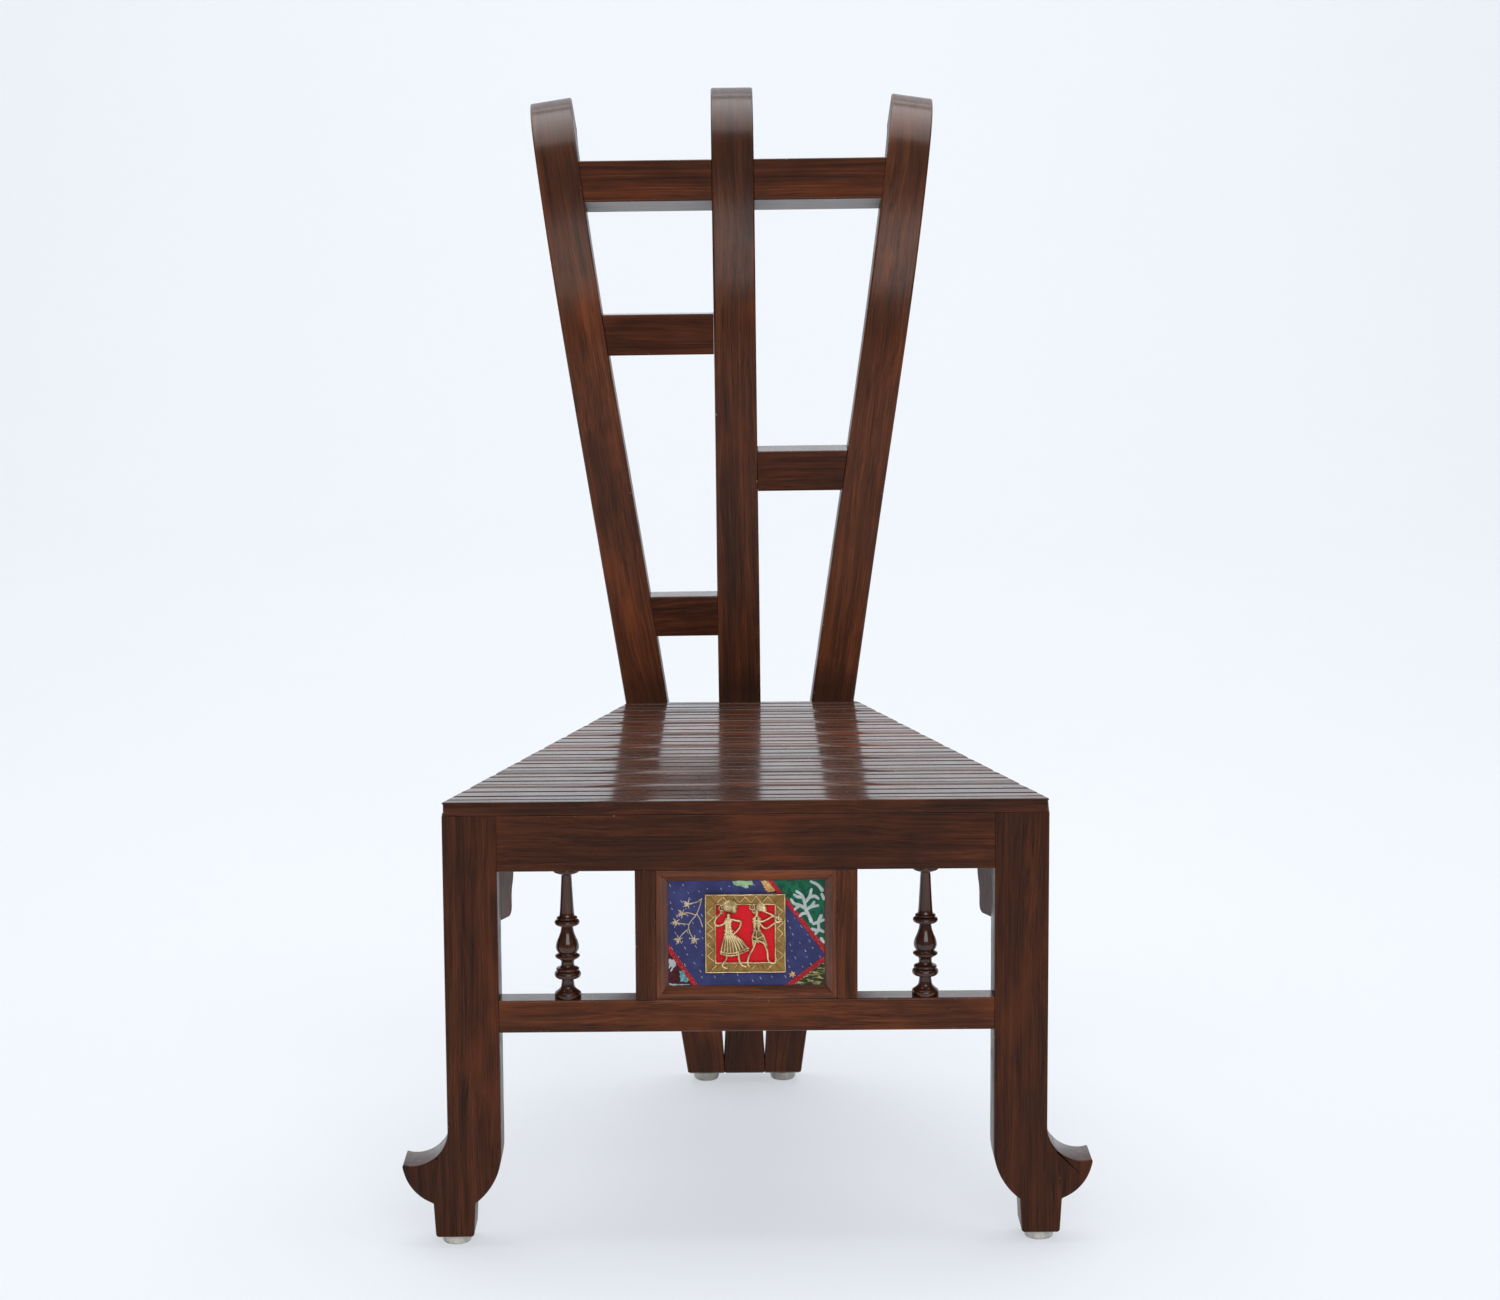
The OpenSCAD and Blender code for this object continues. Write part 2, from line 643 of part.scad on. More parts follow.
// Side rails: plan outlines that follow the slanting edge of the seat
module side_rail_tenons(side, c = 0) {
    more = side_tenon_l + (c > 0 ? glue_room : 0);
    translate([0, 0, side_rail_z + tenon_step - c])
        linear_extrude(side_rail_h - 2 * tenon_step + 2 * c)
        polygon(rail_strip(side, leg_d - more, seat_d + more,
            rail_mid - tenon_t / 2 - c, rail_mid + tenon_t / 2 + c));
}

module side_rail(side) {
    color(WOOD_DARK) difference() {
        union() {
            translate([0, 0, side_rail_z]) linear_extrude(side_rail_h)
                polygon(rail_strip(side, leg_d, seat_d, side_inset, rail_in));
            side_rail_tenons(side);
        }
        rear_rail_tenons(fit);
        slat_dowel_set([1 : slat_count - 1], [side], fit);
    }
}

// Rear seat rail, between the side rails and against the posts
module rear_rail_tenons(c = 0) {
    y0 = rear_rail_y + (rear_rail_t - tenon_t) / 2 - c;
    y1 = y0 + tenon_t + 2 * c;
    inset = rail_in - stub_tenon_l - (c > 0 ? glue_room : 0);
    translate([0, 0, side_rail_z + tenon_step - c])
        linear_extrude(side_rail_h - 2 * tenon_step + 2 * c)
        polygon([[rail_line(-1, y0, inset), y0], [rail_line(1, y0, inset), y0],
            [rail_line(1, y1, inset), y1], [rail_line(-1, y1, inset), y1]]);
}

module rear_seat_rail() {
    color(WOOD_DARK) difference() {
        union() {
            translate([0, 0, side_rail_z]) linear_extrude(side_rail_h)
                polygon([[rail_line(-1, rear_rail_y, rail_in), rear_rail_y],
                    [rail_line(1, rear_rail_y, rail_in), rear_rail_y],
                    [rail_line(1, seat_d, rail_in), seat_d],
                    [rail_line(-1, seat_d, rail_in), seat_d]]);
            rear_rail_tenons();
        }
        bearer_tenons(fit);
    }
}

// Bearer under the middle of the slats, from the apron to the rear seat rail
module bearer_tenons(c = 0) {
    more = stub_tenon_l + (c > 0 ? glue_room : 0);
    box_at([-tenon_t / 2 - c, apron_d - more, bearer_z + tenon_step - c],
        [tenon_t / 2 + c, rear_rail_y + more, frame_top - tenon_step + c]);
}

module bearer() {
    color(WOOD_DARK) union() {
        box_at([-bearer_w / 2, apron_d, bearer_z], [bearer_w / 2, rear_rail_y, frame_top]);
        bearer_tenons();
    }
}

// Brackets: the outline runs along the side rail from the leg, and down from the rail
function bend(p0, p1, p2, n) =
    [for (i = [0 : n]) let (t = i / n) (1 - t) * (1 - t) * p0 + 2 * t * (1 - t) * p1 + t * t * p2];
bracket_outline = concat(
    [[-bracket_t, 0], [bracket_l, 0]],
    bend([bracket_l, -bracket_lip], [bracket_waist + bracket_runout, -bracket_runout],
        [bracket_waist, -bracket_waist_z], 8),
    [for (a = [0 : -22.5 : -90])
        [bracket_waist + 1 - bracket_round * (1 - cos(a)),
         -bracket_h + bracket_round * (1 + sin(a))]],
    [[0, -bracket_leg_h], [-bracket_t, -bracket_leg_h]]);

module bracket(side) {
    color(WOOD_DARK) difference() {
        translate([rail_line(side, leg_d, rail_mid), leg_d, side_rail_z])
            rotate([0, 0, side * edge_angle])
            side_prism(bracket_outline, -bracket_t / 2, bracket_t / 2);
        box_at([-front_w, -leg_d, 0], [front_w, leg_d, seat_h]);
    }
}

// Back posts, all cut to one side outline
module post_blank() { side_prism(post_outline, -post_w / 2, post_w / 2); }
module below_glides() { box_at([-front_w, 0, -post_w], [front_w, 2 * seat_d, glide_h]); }
module post_place(side) {
    translate([side * foot_x, 0, 0]) rotate([0, side * splay, 0]) children();
}

module post_middle() {
    color(WOOD) difference() {
        in_fan() difference() {
            post_blank();
            back_rail_tenons(top_rail_z, top_rail_h, -1, fit);
            back_rail_tenons(top_rail_z, top_rail_h, 1, fit);
            back_rail_tenons(upper_left_z, back_rail_h, -1, fit);
            back_rail_tenons(right_z, back_rail_h, 1, fit);
            back_rail_tenons(lower_left_z, back_rail_h, -1, fit);
        }
        below_glides();
    }
}

module post_outer(side, rails) {
    color(WOOD) difference() {
        in_fan() difference() {
            post_place(side) post_blank();
            box_at([-post_w / 2, 0, -post_w], [post_w / 2, 2 * seat_d, 2 * meet_h]);
            for (r = rails) back_rail_tenons(r[0], r[1], side, fit);
        }
        below_glides();
        side_rail_tenons(side, fit);
        glide_nail([side * glide_rear_x, seat_d + post_d / 2], fit);
    }
}

// Back rails run level from the middle post to an outer one, flush with both at the front.
module rail_frame(z, side) {
    y_middle = face_y(z);
    y_outer = face_y(z / cos(splay));
    lean = (face_lean(z) + face_lean(z / cos(splay))) / 2;
    turn = atan2(y_outer - y_middle, post_x(z));
    translate([0, y_middle, z]) rotate([0, 0, side * turn]) rotate([-lean, 0, 0]) children();
}

module back_rail_tenons(z, h, side, c = 0) {
    more = back_tenon_l + (c > 0 ? glue_room : 0);
    y0 = (back_rail_d - back_tenon_t) / 2;
    rail_frame(z, side) beside(side)
        box_at([post_w / 2 - more, y0 - c, -h / 2 + tenon_step - c],
            [post_x(z) - post_half + more, y0 + back_tenon_t + c, h / 2 - tenon_step + c]);
}

module back_rail(z, h, side) {
    wide = post_x(z) + post_w;
    color(WOOD_LIGHT) in_fan() union() {
        difference() {
            rail_frame(z, side) beside(side) box_at([0, 0, -h / 2], [wide, back_rail_d, h / 2]);
            box_at([-post_w / 2, 0, 0], [post_w / 2, 2 * seat_d, 2 * z]);
            beside(side) post_place(1)
                box_at([-post_w / 2, 0, 0], [wide, 2 * seat_d, 2 * z]);
        }
        back_rail_tenons(z, h, side);
    }
}

// Floor glides with their nails
module glide(place) {
    color("#e9e6dc") difference() {
        translate([place[0], place[1], 0]) rotate_extrude() polygon([[0, 0],
            [glide_low_r - glide_edge, 0], [glide_low_r - glide_edge * 0.3, glide_edge * 0.3],
            [glide_low_r, glide_edge], [glide_r, glide_h], [0, glide_h]]);
        glide_nail(place, fit);
    }
}
module glide_nail(place, c = 0) {
    translate([place[0], place[1], glide_h / 2 - c])
        cylinder(h = glide_h / 2 + glide_nail_l + 2 * c, r = glide_nail_r + c);
}
front_glide_y = leg_d / 2;
rear_glide_y = seat_d + post_d / 2;
glide_places = [[-glide_front_x, front_glide_y], [glide_front_x, front_glide_y],
    [-glide_rear_x, rear_glide_y], [glide_rear_x, rear_glide_y]];
module glide_nails() {
    color("silver") for (place = glide_places) glide_nail(place);
}

// Slat dowels, one at each end of every slat. The first pair goes into the legs.
module slat_dowel_set(slats, sides, c = 0) {
    for (i = slats, side = sides) {
        y = i * pitch + slat_dowel_y;
        translate([rail_line(side, y, rail_mid), y, frame_top - slat_dowel_down - c])
            cylinder(h = slat_dowel_down + slat_dowel_up + 2 * c, r = slat_dowel_r + c, $fn = 32);
    }
}
module slat_dowels() {
    color("#b98b5a") slat_dowel_set([0 : slat_count - 1], [-1, 1]);
}

at_home() leg(-1);  // front_leg_left
at_home() leg(1);  // front_leg_right
at_home() apron();  // front_apron
at_home() lower_rail();
at_home() stile(-1);  // panel_stile_left
at_home() stile(1);  // panel_stile_right
at_home() panel_strip(180);  // panel_strip_top
at_home() panel_strip(0);  // panel_strip_bottom
at_home() panel_strip(90);  // panel_strip_left
at_home() panel_strip(270);  // panel_strip_right
at_home() panel_board();
at_home() patchwork_cloth();
at_home() red_felt();
at_home() brass_plate();
at_home() spindle(-1);  // spindle_left
at_home() spindle(1);  // spindle_right
at_home() side_rail(-1);  // side_rail_left
at_home() side_rail(1);  // side_rail_right
at_home() rear_seat_rail();
at_home() bearer();  // seat_bearer
at_home() bracket(-1);  // bracket_left
at_home() bracket(1);  // bracket_right
for (i = [0 : slat_count - 1]) at_home() slat(i);
at_home()  // back_post_left
    post_outer(-1, [[top_rail_z, top_rail_h], [upper_left_z, back_rail_h],
        [lower_left_z, back_rail_h]]);
at_home() post_middle();  // back_post_middle
at_home()  // back_post_right
    post_outer(1, [[top_rail_z, top_rail_h], [right_z, back_rail_h]]);
at_home() back_rail(top_rail_z, top_rail_h, -1);  // top_rail_left
at_home() back_rail(top_rail_z, top_rail_h, 1);  // top_rail_right
at_home()  // back_rail_upper_left
    back_rail(upper_left_z, back_rail_h, -1);
at_home() back_rail(right_z, back_rail_h, 1);  // back_rail_right
at_home()  // back_rail_lower_left
    back_rail(lower_left_z, back_rail_h, -1);
at_home() glide(glide_places[0]);  // glide_front_left
at_home() glide(glide_places[1]);  // glide_front_right
at_home() glide(glide_places[2]);  // glide_rear_left
at_home() glide(glide_places[3]);  // glide_rear_right
at_home() glide_nails();
at_home() slat_dowels();
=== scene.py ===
"""Slipper chair in polished rosewood, laid out as a Blender add-on and run as a script.

Lengths inside the functions are millimetres in the maker's frame: X across, Y back from the
front face of the legs, Z up from the floor. home() turns them into the scene's metres.
"""

import math

import bpy
import numpy as np
from bpy.props import FloatProperty, FloatVectorProperty, IntProperty, PointerProperty
from mathutils import Matrix, Vector

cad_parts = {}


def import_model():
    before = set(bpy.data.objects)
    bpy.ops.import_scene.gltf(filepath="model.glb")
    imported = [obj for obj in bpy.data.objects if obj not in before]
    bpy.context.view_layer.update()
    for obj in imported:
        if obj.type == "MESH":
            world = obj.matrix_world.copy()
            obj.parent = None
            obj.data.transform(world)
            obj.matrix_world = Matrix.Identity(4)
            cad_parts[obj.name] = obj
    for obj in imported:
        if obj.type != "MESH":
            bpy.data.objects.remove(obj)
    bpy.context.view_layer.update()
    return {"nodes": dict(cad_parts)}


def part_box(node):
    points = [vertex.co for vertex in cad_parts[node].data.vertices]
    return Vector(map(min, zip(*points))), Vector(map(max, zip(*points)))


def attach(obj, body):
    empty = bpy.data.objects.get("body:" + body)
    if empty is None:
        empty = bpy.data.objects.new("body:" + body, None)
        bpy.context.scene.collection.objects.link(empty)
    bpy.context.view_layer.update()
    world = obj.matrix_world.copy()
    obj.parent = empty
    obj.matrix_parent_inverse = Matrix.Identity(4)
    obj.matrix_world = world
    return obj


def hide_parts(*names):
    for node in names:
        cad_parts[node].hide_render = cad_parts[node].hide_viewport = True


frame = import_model()
FRONT_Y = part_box("front_leg_left")[0].y
SEAT_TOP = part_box("seat_slat_2")[1].z
CHAIR_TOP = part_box("back_post_middle")[1].z

bl_info = {
    "name": "Slipper chair",
    "version": (1, 0, 0),
    "blender": (4, 5, 0),
    "location": "3D View > Sidebar > Chair",
    "description": "Makes the pieces of a rosewood slipper chair round its packed frame",
    "category": "Add Mesh",
}


# ---------------------------------------------------------------- sizes and colours

def length(name, text, mm, low=0.1, high=1200.0):
    """A length property whose default is given in millimetres."""
    return FloatProperty(name=name, description=text, default=mm / 1000, min=low / 1000,
                         max=high / 1000, unit="LENGTH", precision=4)


def colour(name, text, rgb):
    """A colour property whose default is given as 0 to 255 screen values."""
    linear = [((c / 255 + 0.055) / 1.055) ** 2.4 if c > 10 else c / 3294 for c in rgb]
    return FloatVectorProperty(name=name, description=text, default=linear, size=3,
                               min=0, max=1, subtype="COLOR")


class ChairFront(bpy.types.PropertyGroup):
    """Sizes of the front legs and the frame between them"""
    front_w: length("Front width", "Width over the outer faces of the front legs", 560)
    leg_w: length("Leg width", "Width of a front leg, seen from the front", 50)
    leg_d: length("Leg thickness", "Thickness of a front leg, front to back", 42)
    toe_r: length("Toe radius", "Radius of the round underside of the toe", 44)
    hollow_r: length("Hollow radius", "Radius of the hollow above the toe", 33)
    heel_r: length("Heel radius", "Radius of the curve on the inner side of the foot", 62)
    block_w: length("Block width", "Width of the small block under the curl", 39)
    apron_h: length("Apron height", "Height of the apron under the seat", 53)
    apron_d: length("Apron thickness", "Thickness of the apron", 28)
    rail_z: length("Lower rail height", "Underside of the lower rail above the floor", 207)
    rail_h: length("Lower rail width", "Height of the lower rail itself", 30.5)
    rail_d: length("Lower rail thickness", "Thickness of the lower rail", 27)
    softness: length("Edge softness", "Radius to which the wood's edges are sanded", 1.6, 0.3, 4)


class ChairPanel(bpy.types.PropertyGroup):
    """Sizes of the picture panel and the spindles beside it"""
    panel_w: length("Panel width", "Width over the two stiles", 206)
    stile_w: length("Stile width", "Width of a stile", 19)
    stile_d: length("Stile thickness", "Thickness of a stile", 22)
    strip_w: length("Strip width", "Width of the mitred strips", 11.3)
    strip_flat: length("Strip flat", "Width of a strip's flat front", 5)
    strip_d: length("Strip depth", "Depth of a strip, front to back", 7.2)
    plate_w: length("Plate width", "Width of the square brass plate", 75)
    plate_border: length("Plate border", "Width of the brass plate's border", 10.4)
    plate_t: length("Plate thickness", "Thickness of the border's base", 2.1)
    wire_r: length("Wire radius", "Radius of the wires on the border", 0.55, 0.2, 1)
    spindle_r: length("Spindle radius", "Radius of the spindle's double ring", 12.5)


class ChairSeat(bpy.types.PropertyGroup):
    """Sizes of the slatted seat and the frame under it"""
    slat_count: IntProperty(name="Slats", description="Number of slats", default=8, min=7, max=9)
    seat_d: length("Seat depth", "From the front of the legs to the back posts", 495)
    back_w: length("Rear width", "Width of the seat at the back posts", 248)
    slat_t: length("Slat thickness", "Thickness of a slat", 13)
    slat_gap: length("Slat gap", "Gap between two slats", 0.5)
    nose_l: length("Nose length", "Depth of the rounded nose of a slat", 11.6)
    nose_drop: length("Nose drop", "How far the nose drops", 4.5)
    groove_w: length("Groove width", "Width of each sunk groove", 5)
    groove_h: length("Groove depth", "Depth of each sunk groove", 2.6)


class ChairBack(bpy.types.PropertyGroup):
    """Sizes of the posts that fan out, and of the rails between them"""
    post_w: length("Post width", "Width of a post, seen from the front", 45)
    post_d: length("Post thickness", "Thickness of a post, front to back", 38)
    splay: FloatProperty(name="Splay", description="Angle of an outer post to the middle one",
                         default=math.radians(8.43), subtype="ANGLE")
    lean: FloatProperty(name="Fan tilt", description="Lean of the whole back to the left",
                        default=math.radians(0.4), subtype="ANGLE")
    rail_h: length("Rail height", "Height of the three lower rails", 43.5)
    top_rail_h: length("Top rail height", "Height of the two top rails", 47)
    rail_d: length("Rail thickness", "Thickness of the back rails", 32)


class ChairFinish(bpy.types.PropertyGroup):
    """Colours of the wood, metal and cloth"""
    wood_light: colour("Wood, light", "Light streaks of the rosewood", (126, 68, 38))
    wood_mid: colour("Wood, middle", "Main colour of the rosewood", (88, 44, 22))
    wood_dark: colour("Wood, dark", "Dark streaks of the rosewood", (44, 23, 13))
    brass: colour("Brass", "Worn high places of the brass", (244, 218, 168))
    brass_old: colour("Brass, old", "Dull tone of the brass in its low places", (172, 136, 80))
    felt: colour("Felt", "Felt behind the figures", (232, 30, 42))
    navy: colour("Navy cloth", "Ground of the patchwork", (62, 66, 116))
    plastic: colour("Glides", "Off-white plastic of the floor glides", (226, 222, 212))


# ---------------------------------------------------------------- numpy surfaces

def home(points):
    """Millimetres in the maker's frame to metres in the scene."""
    return np.asarray(points, float) / 1000 + np.array([0, FRONT_Y, 0])


class Shell:
    """A closed surface: points, four-sided faces, whole end faces, grain place and edge mask."""

    def __init__(self, points, quads, ends=(), grain=None, edge=None):
        self.points = np.asarray(points, float).reshape(-1, 3)
        self.quads = np.asarray(quads, int).reshape(-1, 4)
        self.ends = [np.asarray(e, int) for e in ends]
        self.grain = self.points.copy() if grain is None else np.asarray(grain).reshape(-1, 3)
        self.edge = np.zeros(len(self.points)) if edge is None else np.ravel(edge)
        self.face_out()

    def face_out(self):
        """Turns every face round where the signed volume over all faces is below zero."""
        p = self.points - self.points.mean(0)
        q = self.quads
        volume = np.einsum("ij,ij->i", p[q[:, 0]], np.cross(p[q[:, 1]], p[q[:, 2]])).sum()
        volume += np.einsum("ij,ij->i", p[q[:, 0]], np.cross(p[q[:, 2]], p[q[:, 3]])).sum()
        for e in self.ends:
            volume += (np.cross(p[e[1:-1]], p[e[2:]]) @ p[e[0]]).sum()
        if volume < 0:
            self.quads = q[:, ::-1]
            self.ends = [e[::-1] for e in self.ends]


def tube_faces(rings, around):
    """Four-sided faces of a tube: ring i to ring i + 1, point j to j + 1 round the ring."""
    i, j = np.arange(rings - 1)[:, None], np.arange(around)[None, :]
    k = (j + 1) % around
    return np.stack([i * around + j, i * around + k, (i + 1) * around + k,
                     (i + 1) * around + j], -1).reshape(-1, 4)


def tube(points, grain=None, edge=None):
    """A closed tube from an array of rings (rings, around, 3), with a flat face at each end."""
    m, n = points.shape[:2]
    ends = [np.arange(n)[::-1], np.arange(n) + (m - 1) * n]
    return Shell(points, tube_faces(m, n), ends, grain, edge)


def grid_faces(m, n):
    """Four-sided faces of an open grid of m by n points."""
    i, j = np.arange(m - 1)[:, None], np.arange(n - 1)[None, :]
    a = i * n + j
    return np.stack([a, a + 1, a + n + 1, a + n], -1).reshape(-1, 4)


def quarter(steps):
    """1 - cos a and 1 - sin a at even steps over a quarter circle."""
    a = np.linspace(0, math.pi / 2, steps + 1)
    return 1 - np.cos(a), 1 - np.sin(a)


def smooth(x):
    """The smooth step 3x^2 - 2x^3 of numbers between 0 and 1."""
    return 3 * x ** 2 - 2 * x ** 3


def soft_section(r, steps=3, hold=0.5):
    """Unit section of a board: four quarter circles joined by straight sides.

    Returns, for each point, the side it belongs to in each direction (-1 or 1), how much of the
    corner radius it lies inside that side, and 1 on the round corners. A point is
    side * (half - radius * inside), and the points at 'hold' beyond each corner keep the flat
    sides flat under smooth shading.
    """
    rise, fall = quarter(steps)
    inx = np.concatenate([[0], rise, [1 + hold / r]])
    inz = np.concatenate([[1 + hold / r], fall, [0]])
    mask = np.concatenate([[0], np.ones(steps + 1), [0]])
    sx = np.concatenate([np.full(len(inx), s) for s in (1, -1, -1, 1)])
    sz = np.concatenate([np.full(len(inx), s) for s in (1, 1, -1, -1)])
    ins_x = np.concatenate([inx, inx[::-1], inx, inx[::-1]])
    ins_z = np.concatenate([inz, inz[::-1], inz, inz[::-1]])
    return sx, sz, ins_x, ins_z, np.tile(mask, 4)


def end_steps(r, steps=3, hold=0.6):
    """Rings at a rounded end: distance from the end and inset of the section, from the end in.

    A quarter circle turned about the edge: distance r(1 - cos a), inset r(1 - sin a).
    """
    rise, fall = quarter(steps)
    return (np.concatenate([[0], r * rise, [r + hold]]),
            np.concatenate([[r + hold], r * fall, [0]]))


def board(width, depth, length_, place, r=1.6, end_r=0.8, rows=8, seed=0, wave=0.12):
    """A board with sanded edges, carried along its length.

    The section is width by depth with corners of radius r, the ends are turned over with
    radius end_r, and place(u, v, s) puts the point u across, v deep and s along (0 to
    length_) into the maker's frame. A slow sine of wave mm over the length keeps the sides
    from being machine flat. The grain runs along s.
    """
    sx, sz, ix, iz, mask = soft_section(r)
    back, inset = end_steps(end_r)
    middle = np.linspace(end_r + 2, length_ - end_r - 2, rows)
    s = np.concatenate([back, middle, length_ - back[::-1]])
    ins = np.concatenate([inset, np.zeros(rows), inset[::-1]])[:, None]
    slow = wave * (0.5 * np.sin(s[:, None] / 61.0 + seed * 1.7) - 0.5) * (ins == 0)
    u = sx * (width / 2 - ins - r * ix + slow)
    v = sz * (depth / 2 - ins - r * iz)
    ss = np.broadcast_to(s[:, None], u.shape)
    edge = np.maximum(np.broadcast_to(mask, u.shape), (ins > 0) * 0.8)
    return tube(place(u, v, ss), grain_place(seed, u, v, ss), edge)


def grain_place(seed, a, b, along):
    """Each point's place in the tree, a and b across the grain and along with it.

    Every seed is cut from another place, so that no two pieces show the same grain.
    """
    t = seed * 12.9898 + 4.137
    shift = 900 * np.array([math.sin(t), math.sin(t * 1.7 + 1), math.sin(t * 2.3 + 2)])
    return np.stack(np.broadcast_arrays(a, b, along), -1) + shift


def inset_outline(outline, r):
    """Every point of a closed outline moved inwards by r, along the mean of its two edges.

    The move is r (n1 + n2) / (1 + n1.n2), with n1 and n2 the inward normals of the edges.
    """
    p = np.asarray(outline, float)
    area = (p[:, 0] * np.roll(p[:, 1], -1) - np.roll(p[:, 0], -1) * p[:, 1]).sum()
    d = np.roll(p, -1, 0) - p
    d /= np.linalg.norm(d, axis=1)[:, None] + 1e-12
    n = np.stack([-d[:, 1], d[:, 0]], 1) * np.sign(area)
    before = np.roll(n, 1, 0)
    share = 1 + np.maximum((n * before).sum(1), -0.6)
    return p + np.asarray(r).reshape(-1, 1) * (n + before) / share[:, None]


def plate(outline, thick, place, r=1.6, seed=0, steps=4):
    """A sawn shape with sanded rims: an outline in two directions carried through thick.

    Ring k is the outline moved in by r(1 - sin a) at a depth of r(1 - cos a) from each face,
    place(p, q, v) puts the outline's p and q and the depth v into the maker's frame, and the
    grain runs along q. r may differ from point to point.
    """
    p = np.asarray(outline, float)
    r = np.broadcast_to(np.asarray(r, float), len(p)).copy()
    rings, deep = [inset_outline(p, r + 0.25)], [r * 0]
    for v, i in zip(*quarter(steps)):
        rings.append(inset_outline(p, r * i))
        deep.append(r * v)
    rings = np.array(rings + rings[::-1])
    deep = np.array(deep + [thick - x for x in deep[::-1]])
    edge = np.ones(deep.shape)
    edge[[0, -1]] = 0
    p, q = rings[..., 0], rings[..., 1]
    return tube(place(p, q, deep), grain_place(seed, p, deep, q), edge)


def lathe(profile, centre, around=56, seed=0, edge=None):
    """A turned shape: a profile of radius and height spun about a vertical line.

    Point (r, z) becomes (cx + r cos t, cy + r sin t, cz + z) for t round the circle. The
    profile starts and ends at a small radius, whose ring is closed by a flat face.
    """
    p = np.asarray(profile, float)
    t = np.linspace(0, 2 * math.pi, around, endpoint=False)
    r, z = p[:, :1], np.broadcast_to(p[:, 1:], (len(p), around))
    x, y = r * np.cos(t), r * np.sin(t)
    mask = None if edge is None else np.broadcast_to(np.asarray(edge)[:, None], z.shape)
    return tube(np.stack([x, y, z], -1) + centre, grain_place(seed, x, y, z), mask)


def wire(path, radius, sides=8, flat=1.0):
    """A round wire along a path, with rounded ends, in the drawing's plane.

    At each point of the path the section is a circle of the given radius (which may vary
    along it), in the plane of the path's normal and of the depth; flat squashes it in depth.
    The two ends shrink over a quarter circle.
    """
    c = np.asarray(path, float)
    rad = np.broadcast_to(np.asarray(radius, float), len(c)).copy()
    d = np.gradient(c, axis=0)
    d /= np.linalg.norm(d, axis=1)[:, None] + 1e-12
    a = np.array([0.0, 0.45, 0.8])
    head = c[0] - d[0] * rad[0] * (1 - a)[:, None]
    tail = c[-1] + d[-1] * rad[-1] * (1 - a[::-1])[:, None]
    shrink = np.array([0.12, 0.65, 0.92])
    c = np.concatenate([head, c, tail])
    d = np.concatenate([np.repeat(d[:1], 3, 0), d, np.repeat(d[-1:], 3, 0)])
    rad = np.concatenate([rad[0] * shrink, rad, rad[-1] * shrink[::-1]])
    up = np.broadcast_to(np.array([0.0, -1.0, 0.0]), d.shape)
    side = np.cross(d, up)
    side /= np.linalg.norm(side, axis=1)[:, None] + 1e-12
    t = np.linspace(0, 2 * math.pi, sides, endpoint=False)
    ring = (side[:, None, :] * np.cos(t)[None, :, None]
            + flat * up[:, None, :] * np.sin(t)[None, :, None])
    points = c[:, None, :] + rad[:, None, None] * ring
    high = np.broadcast_to(np.clip(np.sin(t), 0, 1), points.shape[:2])
    return tube(points, edge=high)


def ball(centre, radii, around=20, rows=11):
    """An ellipsoid: centre + radii * (sin b cos t, cos b, sin b sin t), b from pole to pole."""
    b = np.linspace(0.06, math.pi - 0.06, rows)[:, None]
    t = np.linspace(0, 2 * math.pi, around, endpoint=False)
    points = np.stack([centre[0] + radii[0] * np.sin(b) * np.cos(t),
                       centre[1] - radii[1] * np.cos(b) * np.ones_like(t),
                       centre[2] + radii[2] * np.sin(b) * np.sin(t)], -1)
    edge = np.broadcast_to(np.clip(np.cos(b), 0, 1), points.shape[:2])
    return tube(points, edge=edge)


def smooth_path(points, count):
    """A Catmull-Rom curve through the points, taken at count even steps."""
    p = np.asarray(points, float)
    p = np.concatenate([2 * p[:1] - p[1:2], p, 2 * p[-1:] - p[-2:-1]])
    t = np.linspace(0, len(p) - 3 - 1e-9, count)
    i = t.astype(int)
    f = (t - i)[:, None]
    a, b, c, d = p[i], p[i + 1], p[i + 2], p[i + 3]
    return 0.5 * (2 * b + (c - a) * f + (2 * a - 5 * b + 4 * c - d) * f ** 2
                  + (3 * b - a - 3 * c + d) * f ** 3)


def make_piece(name, shells, material, nodes=(), sharp=35.0):
    """Puts shells into one mesh object that rides on the chair and stands for CAD nodes."""
    shells = list(shells)
    starts = np.cumsum([0] + [len(s.points) for s in shells])
    verts = home(np.concatenate([s.points for s in shells]))
    faces = []
    for s, start in zip(shells, starts):
        faces += (s.quads + start).tolist()
        faces += [(e + start).tolist() for e in s.ends]
    mesh = bpy.data.meshes.new(name)
    mesh.from_pydata(verts.tolist(), [], faces)
    mesh.attributes.new("grain", "FLOAT_VECTOR", "POINT").data.foreach_set(
        "vector", np.concatenate([s.grain for s in shells]).astype(np.float32).ravel())
    mesh.attributes.new("edge", "FLOAT", "POINT").data.foreach_set(
        "value", np.concatenate([s.edge for s in shells]).astype(np.float32))
    mesh.uv_layers.new(name="UVMap").uv.foreach_set(
        "vector", np.zeros(2 * len(mesh.loops), np.float32))
    mesh.polygons.foreach_set("use_smooth", np.ones(len(mesh.polygons), bool))
    mesh.set_sharp_from_angle(angle=math.radians(sharp))
    mesh.materials.append(material)
    mesh.update()
    piece = bpy.data.objects.new(name, mesh)
    bpy.context.scene.collection.objects.link(piece)
    if nodes:
        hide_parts(*nodes)
    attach(piece, "root")
    return piece


def carve(cad, ending, shell, wood, sharp=35.0):
    """A wooden piece that takes the place of the packed node cad and is named after it."""
    return make_piece(f"{cad}_{ending}", [shell], wood, [cad], sharp)


def mm(group, *names):
    """Values of a property group in millimetres."""
    return [getattr(group, n) * 1000 for n in names]


